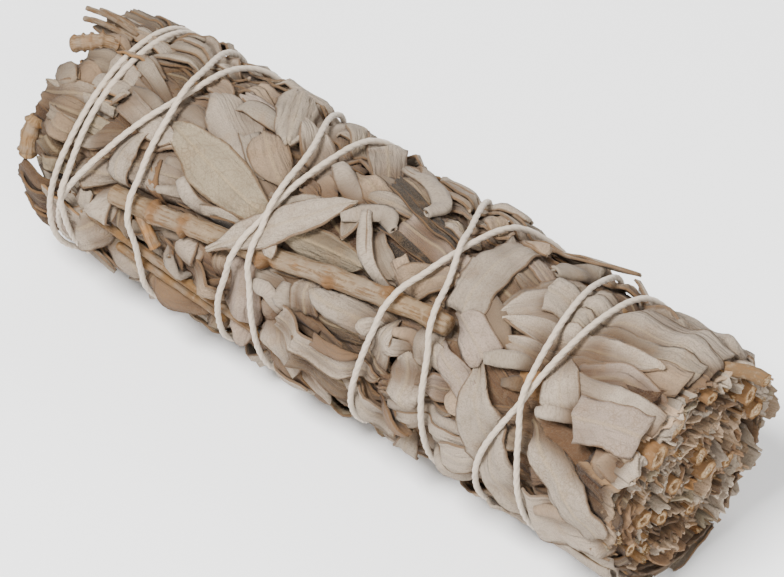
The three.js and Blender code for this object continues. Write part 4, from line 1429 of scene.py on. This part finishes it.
class SAGE_OT_stems(bpy.types.Operator):
    """Adds the cut stems and the stick that stands out past them"""

    bl_idname = "sage.stems"
    bl_label = "Cut stems"

    def execute(self, context):
        bark = tuple(context.scene.sage_colours.stem)
        material = wood_material("Cut stem", "#6d4f30", 3.2)
        rng = np.random.default_rng(5)
        for index, stem in enumerate(STEMS):
            number = f"{index + 1:02d}"
            mesh = PieceMesh()
            self.add_stem(mesh, rng, stem, bark, hollow=index % 3 != 1)
            mesh.finish(f"cut_stem_{number}", material, "cut_stem", f"stem_{number}")
        mesh = PieceMesh()
        self.add_stem(mesh, rng, CUT_STICK, linear(STICK_BARK), hollow=False, lean=STICK_LEAN)
        mesh.finish("standing_stick", material, "cut_stem", "cut_stick")
        self.add_splinters(rng, material)
        return {"FINISHED"}

    def add_splinters(self, rng, material):
        """Thin broken stems between the leaves of the cut end."""
        mesh = PieceMesh()
        for _ in range(SPLINTER_COUNT):
            ring = math.sqrt(rng.uniform(4.0, 15.2 ** 2))
            angle = rng.uniform(0, 2 * math.pi)
            y, z = ring * math.sin(angle), BUNCH_RADIUS + ring * math.cos(angle)
            size = rng.uniform(0.3, 0.8)
            y, z = around_stems(np.array(y), np.array(z), size + 0.1)
            end = CUT_FACE_X + rng.uniform(-2.2, 1.3)
            stem = (float(y), float(z), size, end - 8, end)
            bark = linear(SPLINTER_BARKS[rng.integers(4)])
            self.add_stem(mesh, rng, stem, bark, hollow=rng.random() < 0.4,
                          lean=rng.uniform(-0.5, 0.5, 2), chip=0.5)
        mesh.finish("stem_splinters", material, "cut_stem", "leaf_bunch")

    @staticmethod
    def add_stem(mesh, rng, stem, bark, hollow, lean=(0, 0), chip=0.14):
        """A stem with bark, a pale cut face and its pith, which may be hollow."""
        y, z, radius, start, end = stem
        x = np.linspace(start, end, max(int((end - start) / 1.6), 6))
        width = STEM_SIDES + 1
        turn = np.linspace(0, 2 * math.pi, width)
        oval = 1 + 0.07 * np.cos(2 * turn + rng.uniform(0, 6)) + 0.03 * np.cos(5 * turn)
        rows = [(at, 1.0, bark) for at in x]
        rows += [(end + out, share, linear(colour)) for out, share, colour
                 in CUT_FACE_RINGS + (HOLLOW_PITH if hollow else FULL_PITH)]
        row_x = np.array([[at] for at, _, _ in rows])
        shares = np.array([[share] for _, share, _ in rows])
        rough = 1 + 0.03 * rng.standard_normal((len(rows), width))
        rough[:, -1] = rough[:, 0]
        reach = oval[None, :] * rough * shares * radius
        rings = np.zeros((len(rows), width, 3))
        tilt = rng.uniform(-0.16, 0.16, 2)
        at_face = smoothstep(np.arange(len(rows)), len(x) - 2, len(x) - 1)[:, None]
        across = np.cos(turn)[None, :] * reach
        upward = np.sin(turn)[None, :] * reach
        rings[:, :, 0] = row_x + at_face * (tilt[0] * across + tilt[1] * upward)
        chips = rng.uniform(-chip, chip, (len(rows), width))
        chips[:, -1] = chips[:, 0]
        rings[:, :, 0] += chips * at_face
        bent = smoothstep(row_x, end - 10, end - 1)
        rings[:, :, 1] = y + across + lean[0] * bent
        rings[:, :, 2] = z + upward + lean[1] * bent
        rings[:, -1] = rings[:, 0]
        tones = np.ones((len(rows), width, 4))
        tones[..., :3] = np.array([colour for _, _, colour in rows])[:, None, :]
        spots = np.zeros((len(rows), width, 3))
        spots[:, :, 0] = np.cos(turn)[None, :] * radius * shares
        spots[:, :, 1] = row_x + 20 * rng.random()
        spots[:, :, 2] = np.sin(turn)[None, :] * radius * shares
        mesh.add_rings(rings * MM, tones, spots)


# Sticks and a stub on top of the tip end: radius, then x, degrees and distance from the axis
TIP_STICKS = [
    (0.42, [(-57.0, -7, 16.9), (-53, -9.5, 17.0), (-48.8, -12, 16.0)]),
    (0.36, [(-55.8, -12, 16.6), (-52, -13.5, 16.7), (-48.8, -15, 15.8)]),
    (0.46, [(-56.4, -3, 16.1), (-53, -5, 16.6), (-48.8, -8, 15.8)]),
]
INNER_STICK_COUNT = 26
TIP_STUB = [(-54.8, 12.5, 15.6), (-53, 8.5, 16.2), (-51, 3.5, 16.3), (-49.2, -1, 15.4)]
TWIG_SIDES = 18


def bark_tone(colour):
    """A bark's colour with no rib, as the mesh holds it."""
    return np.array((*linear(colour), 0.0))


GREY_BARK = bark_tone("#74685a")
RUSTY_BARK = bark_tone("#66482c")
STRAW_BARK = bark_tone("#85603a")
BROWN_BARK = bark_tone("#644a2c")
KNOBBY_BARK = bark_tone("#7b6143")
STICK_BARKS = [bark_tone("#6d5640"), bark_tone("#7d6344"), bark_tone("#574230")]


class SAGE_OT_twigs(bpy.types.Operator):
    """Adds the side twig with its broken shoot, the low twigs and the twigs at the tip end"""

    bl_idname = "sage.twigs"
    bl_label = "Twigs"

    def execute(self, context):
        bark = np.array((*context.scene.sage_colours.bark, 0.0))
        rng = np.random.default_rng(71)
        material = wood_material("Twig bark", "#553c22", 2.0)
        mesh = PieceMesh()
        self.add_twig(mesh, rng, twig_line(SIDE_TWIG, TWIG_RADIUS, 170), 1.6, bark,
                      scars=[0.2, 0.31, 0.5, 0.66, 0.8, 0.93], knob=0.14)
        self.add_twig(mesh, rng, twig_line(SIDE_SHOOT, TWIG_RADIUS, 40), 0.95, STRAW_BARK,
                      scars=[0.35])
        mesh.finish("side_twig_bark", material, "twig_bark", "side_twig")
        for number, stops in enumerate(LOW_TWIGS, start=1):
            mesh = PieceMesh()
            self.add_twig(mesh, rng, twig_line(stops, LOW_TWIG_RADIUS, 50), 0.78, BROWN_BARK)
            mesh.finish(f"low_twig_bark_{number}", material, "brown_twig", f"low_twig_{number}")
        mesh = PieceMesh()
        self.add_twig(mesh, rng, twig_line(TIP_TWIG, TIP_TWIG_RADIUS, 22), 1.4, KNOBBY_BARK,
                      scars=[0.15, 0.45, 0.8], knob=0.3)
        mesh.finish("tip_twig_bark", material, "twig_bark", "tip_twig")
        self.add_tip_sticks(rng, material)
        return {"FINISHED"}

    def add_tip_sticks(self, rng, material):
        """Adds the sticks and the stub on top of the tip end, and those inside it."""
        mesh = PieceMesh()
        for radius, stops in TIP_STICKS:
            line = smooth_path([place(*stop) for stop in stops], np.linspace(0, 1, 24))
            self.add_twig(mesh, rng, line, radius, bark_tone("#5f5040"))
        for _ in range(INNER_STICK_COUNT):
            ring = math.sqrt(rng.uniform(9, 15.0 ** 2))
            degrees = rng.uniform(0, 360)
            x = TIP_REACH_X + 0.2 + rng.uniform(0, 3.4) + 0.07 * ring
            stops = [(x, degrees, ring - rng.uniform(0, 2)), (x + 4, degrees, ring),
                     (x + 9, degrees, ring)]
            line = smooth_path([place(*stop) for stop in stops], np.linspace(0, 1, 14))
            bark = STICK_BARKS[rng.integers(3)]
            self.add_twig(mesh, rng, line, rng.uniform(0.28, 0.75), bark)
        mesh.finish("tip_sticks", material, "brown_twig", "leaf_bunch")
        mesh = PieceMesh()
        line = smooth_path([place(*stop) for stop in TIP_STUB], np.linspace(0, 1, 40))
        self.add_twig(mesh, rng, line, 1.25, bark_tone("#7d664d"),
                      scars=[0.1, 0.3, 0.45, 0.62, 0.9], knob=0.34)
        mesh.finish("tip_stub", material, "twig_bark", "leaf_bunch")

    @staticmethod
    def add_twig(mesh, rng, line, radius, bark, scars=(), knob=0.1):
        """A twig with patches of grey bark, thicker and rusty at its leaf scars."""
        count = len(line)
        width = TWIG_SIDES + 1
        t = np.linspace(0, 1, count)
        turn = np.linspace(0, 2 * math.pi, width)
        swell = sum((hill(t - scar, 0.022) for scar in scars), np.zeros(count))
        radii = radius * (0.88 + knob * swell + wavy(rng, t, 7, 0.05) + wavy(rng, t, 22, 0.025))
        ridges = np.ones((count, width))
        for _ in range(12):
            waves = rng.integers(2, 9)
            drift = rng.uniform(-3, 3)
            middle, reach = rng.random(), rng.uniform(0.05, 0.3)
            ripple = np.sin(waves * turn[None, :] + drift * t[:, None] * 6 + 7 * rng.random())
            ridges += 0.022 * ripple * hill(t - middle, reach)[:, None]
        rusty = np.zeros((count, width))
        for scar in scars:
            for _ in range(3):
                middle = rng.uniform(0, 2 * math.pi)
                facing = hill(np.cos((turn - middle) / 2) - 1, 0.07)
                spread = hill(np.cos((turn - middle) / 2) - 1, 0.16)
                rusty += 0.9 * hill(t - scar, 0.02)[:, None] * spread
                ridges += 0.16 * hill(t - scar + 0.008, 0.009)[:, None] * facing
                ridges -= 0.24 * hill(t - scar - 0.006, 0.008)[:, None] * facing
        ends = smoothstep(t, 0, 0.5 / count) * smoothstep(1 - t, 0, 0.5 / count)
        radii = radii * (0.82 + 0.18 * ends)
        ridges[:, -1] = ridges[:, 0]
        greyed = np.clip(0.45 + wavy(rng, t, 5, 0.8), 0, 1)[:, None]
        barks = (1 - 0.6 * greyed) * bark + 0.6 * greyed * GREY_BARK
        rusty[:, -1] = rusty[:, 0]
        rusty = np.clip(rusty, 0, 0.85)[:, :, None]
        tones = (1 - rusty) * barks[:, None, :] + rusty * RUSTY_BARK
        mesh.add_tube(line, radii * MM, tones, TWIG_SIDES, ridges)


# The string's two short tails past the knot: x, degrees and radius
KNOT_TAILS = [
    [(38, 230, 17.9), (40, 227, 18.0), (42, 224, 17.9), (46.5, 220, 17.6)],
    [(38, 230, 17.9), (36, 233, 18.1), (34, 236, 18.0), (29.5, 241, 17.9)],
]
PLY_SIDES = 6
PLY_OFFSET = 0.125  # as a share of the string's diameter
PLY_RADIUS = 0.27
KNOT_SIZE = 1.0
WINDING_STEP = 2.5  # degrees between the points along it
MOST_LET_DOWN = 0.95  # how far it is let down onto leaves that lie low


def string_on_leaves(wound, diameter):
    """The string's distance from the axis, let down where the leaves lie lower."""
    radius = string_radius(wound)
    lift = string_lift(wound)
    ground = Chart.sample(LEAF_TOP.heights, string_x(wound), wound) + 0.4 * diameter
    drop = np.where(ground > 1, np.clip(radius - ground, 0, MOST_LET_DOWN), 0)
    behind = smoothstep(np.abs(np.mod(wound + 180, 360) - 180), 92, 106)
    drop *= 1 - smoothstep(lift, 0.0, 0.3)
    drop *= np.maximum(behind, smoothstep(string_x(wound), -43, -38))
    near = np.stack([np.roll(drop, step) for step in range(-3, 4)])
    drop = near.min(axis=0)
    return radius - np.mean([np.roll(drop, step) for step in range(-4, 5)], axis=0)


class SAGE_OT_string(bpy.types.Operator):
    """Winds the cotton string round the bunch and ties it on the far side"""

    bl_idname = "sage.string"
    bl_label = "Binding string"

    def execute(self, context):
        sizes = context.scene.sage_sizes
        diameter = sizes.string_diameter
        twist = sizes.twist_length
        tone = np.array((*context.scene.sage_colours.string, 0.0))
        wound = np.arange(FIRST_DEGREES, LAST_DEGREES + 0.1, WINDING_STEP)
        radius = string_on_leaves(wound, diameter / MM)
        lines = [place(string_x(wound), wound, radius)]
        for tail in KNOT_TAILS:
            stops = np.array([place(*stop) for stop in tail])
            lines.append(smooth_path(stops, np.linspace(0, 1, 24)))
        lines.append(self.knot_line())
        mesh = PieceMesh()
        for line in lines:
            self.add_plies(mesh, line, diameter, twist, tone)
        mesh.finish("cotton_string", string_material(), "cotton_string", "binding_string")
        return {"FINISHED"}

    @staticmethod
    def knot_line():
        """A turn and a half of string drawn tight round the crossing of the two ends."""
        t = np.linspace(0, 1, 40)
        turn = 2 * math.pi * 1.5 * t
        x = KNOT_X + KNOT_SIZE * 0.9 * np.cos(turn)
        degrees = KNOT_DEGREES + (1.6 * (t - 0.5) * KNOT_SIZE) / ARC
        radius = STRING_RADIUS + 0.75 + KNOT_SIZE * 0.62 * np.sin(turn)
        return place(x, degrees, radius)

    @staticmethod
    def add_plies(mesh, line, diameter, twist, tone):
        """Three plies laid round each other along the line."""
        tangents = np.gradient(line, axis=0)
        tangents /= np.linalg.norm(tangents, axis=1)[:, None]
        steps = np.linalg.norm(np.diff(line, axis=0), axis=1)
        along = np.concatenate([[0], np.cumsum(steps)])
        axis = np.array((0.0, 0.0, BUNCH_RADIUS * MM))
        out = line - axis
        out[:, 0] = 0
        out -= tangents * (out * tangents).sum(axis=1)[:, None]
        out /= np.linalg.norm(out, axis=1)[:, None]
        beside = np.cross(tangents, out)
        for ply in range(3):
            angle = 2 * math.pi * (along / twist + ply / 3)
            offset = diameter * PLY_OFFSET
            ply_line = (line + out * (np.cos(angle) * offset)[:, None]
                        + beside * (np.sin(angle) * offset)[:, None])
            mesh.add_tube(ply_line, np.full(len(line), diameter * PLY_RADIUS), tone, PLY_SIDES)


# Camera: degrees round and above the bunch, and metres from it
CAMERA_AZIMUTH = 40.0
CAMERA_ELEVATION = 45.6
CAMERA_DISTANCE = 0.9
CAMERA_SCALE = 7500.0  # pixels per metre at the bunch
IMAGE_SIZE = (784, 577)
IMAGE_MIDDLE = (399.0, 296.0)  # pixel where the middle of the bunch shows
SENSOR_WIDTH = 36

WORLD_STRENGTH = 0.48
LIGHTS = [  # name, power in watts, and size and place in metres
    ("key", 18.6, 0.3, (-0.06, -0.4, 0.77)),
    ("fill", 5.6, 0.6, (0.6, -0.35, 0.45)),
    ("back", 3.0, 0.6, (-0.1, 0.6, 0.6)),
]


class SAGE_OT_stage(bpy.types.Operator):
    """Adds the floor, the lights and the camera"""

    bl_idname = "sage.stage"
    bl_label = "Stage"

    def execute(self, context):
        self.add_floor(context)
        self.add_lights(context)
        self.add_camera(context)
        return {"FINISHED"}

    @staticmethod
    def add_floor(context):
        """A plain pale floor."""
        paint = Shading("Floor", 0.9)
        colour = context.scene.sage_colours.floor
        paint.shader.inputs["Base Color"].default_value = (*colour, 1)
        bm = bmesh.new()
        bmesh.ops.create_grid(bm, x_segments=1, y_segments=1, size=3.0)
        mesh = bpy.data.meshes.new("floor")
        bm.to_mesh(mesh)
        bm.free()
        mesh.materials.append(paint.material)
        floor = bpy.data.objects.new("floor", mesh)
        context.collection.objects.link(floor)

    @staticmethod
    def add_lights(context):
        """Soft light all round, and three lamps aimed at the bunch."""
        world = bpy.data.worlds.new("Studio")
        world.use_nodes = True
        background = world.node_tree.nodes["Background"]
        background.inputs["Color"].default_value = (1.0, 1.0, 1.0, 1)
        background.inputs["Strength"].default_value = WORLD_STRENGTH
        context.scene.world = world
        for name, energy, size, spot in LIGHTS:
            light = bpy.data.lights.new(name, "AREA")
            light.energy = energy
            light.size = size
            lamp = bpy.data.objects.new(name, light)
            lamp.location = spot
            lamp.rotation_euler = (-Vector(spot)).to_track_quat("-Z", "Y").to_euler()
            context.collection.objects.link(lamp)

    @staticmethod
    def add_camera(context):
        """A camera that sees the bunch as the photograph shows it."""
        azimuth, elevation = math.radians(CAMERA_AZIMUTH), math.radians(CAMERA_ELEVATION)
        back = Vector((math.sin(azimuth) * math.cos(elevation),
                       -math.cos(azimuth) * math.cos(elevation), math.sin(elevation)))
        right = Vector((math.cos(azimuth), math.sin(azimuth), 0))
        up = back.cross(right)
        offset = [(middle - size / 2) / CAMERA_SCALE
                  for middle, size in zip(IMAGE_MIDDLE, IMAGE_SIZE)]
        aim = Vector((0, 0, BUNCH_RADIUS * MM)) - right * offset[0] + up * offset[1]
        camera = bpy.data.cameras.new("Camera")
        camera.sensor_width = SENSOR_WIDTH
        camera.sensor_fit = "HORIZONTAL"
        camera.lens = SENSOR_WIDTH * CAMERA_DISTANCE * CAMERA_SCALE / IMAGE_SIZE[0]
        camera.clip_end = 10
        body = bpy.data.objects.new("Camera", camera)
        body.matrix_world = (Matrix.Translation(aim + back * CAMERA_DISTANCE)
                             @ Matrix((right, up, back)).transposed().to_4x4())
        context.collection.objects.link(body)
        context.scene.camera = body


OPERATORS = (
    SAGE_OT_outer_leaves,
    SAGE_OT_cut_end,
    SAGE_OT_tip_end,
    SAGE_OT_stems,
    SAGE_OT_twigs,
    SAGE_OT_string,
    SAGE_OT_stage,
)


class SAGE_PT_panel(bpy.types.Panel):
    bl_label = "Sage bunch"
    bl_idname = "SAGE_PT_panel"
    bl_space_type = "VIEW_3D"
    bl_region_type = "UI"
    bl_category = "Sage"

    def draw(self, context):
        layout = self.layout
        for group in (context.scene.sage_sizes, context.scene.sage_colours):
            for key in group.__annotations__:
                layout.prop(group, key)
        for operator in OPERATORS:
            layout.operator(operator.bl_idname)


CLASSES = (SageSizes, SageColours, *OPERATORS, SAGE_PT_panel)


def register():
    for cls in CLASSES:
        bpy.utils.register_class(cls)
    bpy.types.Scene.sage_sizes = bpy.props.PointerProperty(type=SageSizes)
    bpy.types.Scene.sage_colours = bpy.props.PointerProperty(type=SageColours)


def unregister():
    del bpy.types.Scene.sage_sizes
    del bpy.types.Scene.sage_colours
    for cls in reversed(CLASSES):
        bpy.utils.unregister_class(cls)


def main():
    """Builds the bunch and its stage."""
    register()
    for operator in OPERATORS:
        group, name = operator.bl_idname.split(".")
        getattr(getattr(bpy.ops, group), name)()


if __name__ == "__main__":
    main()
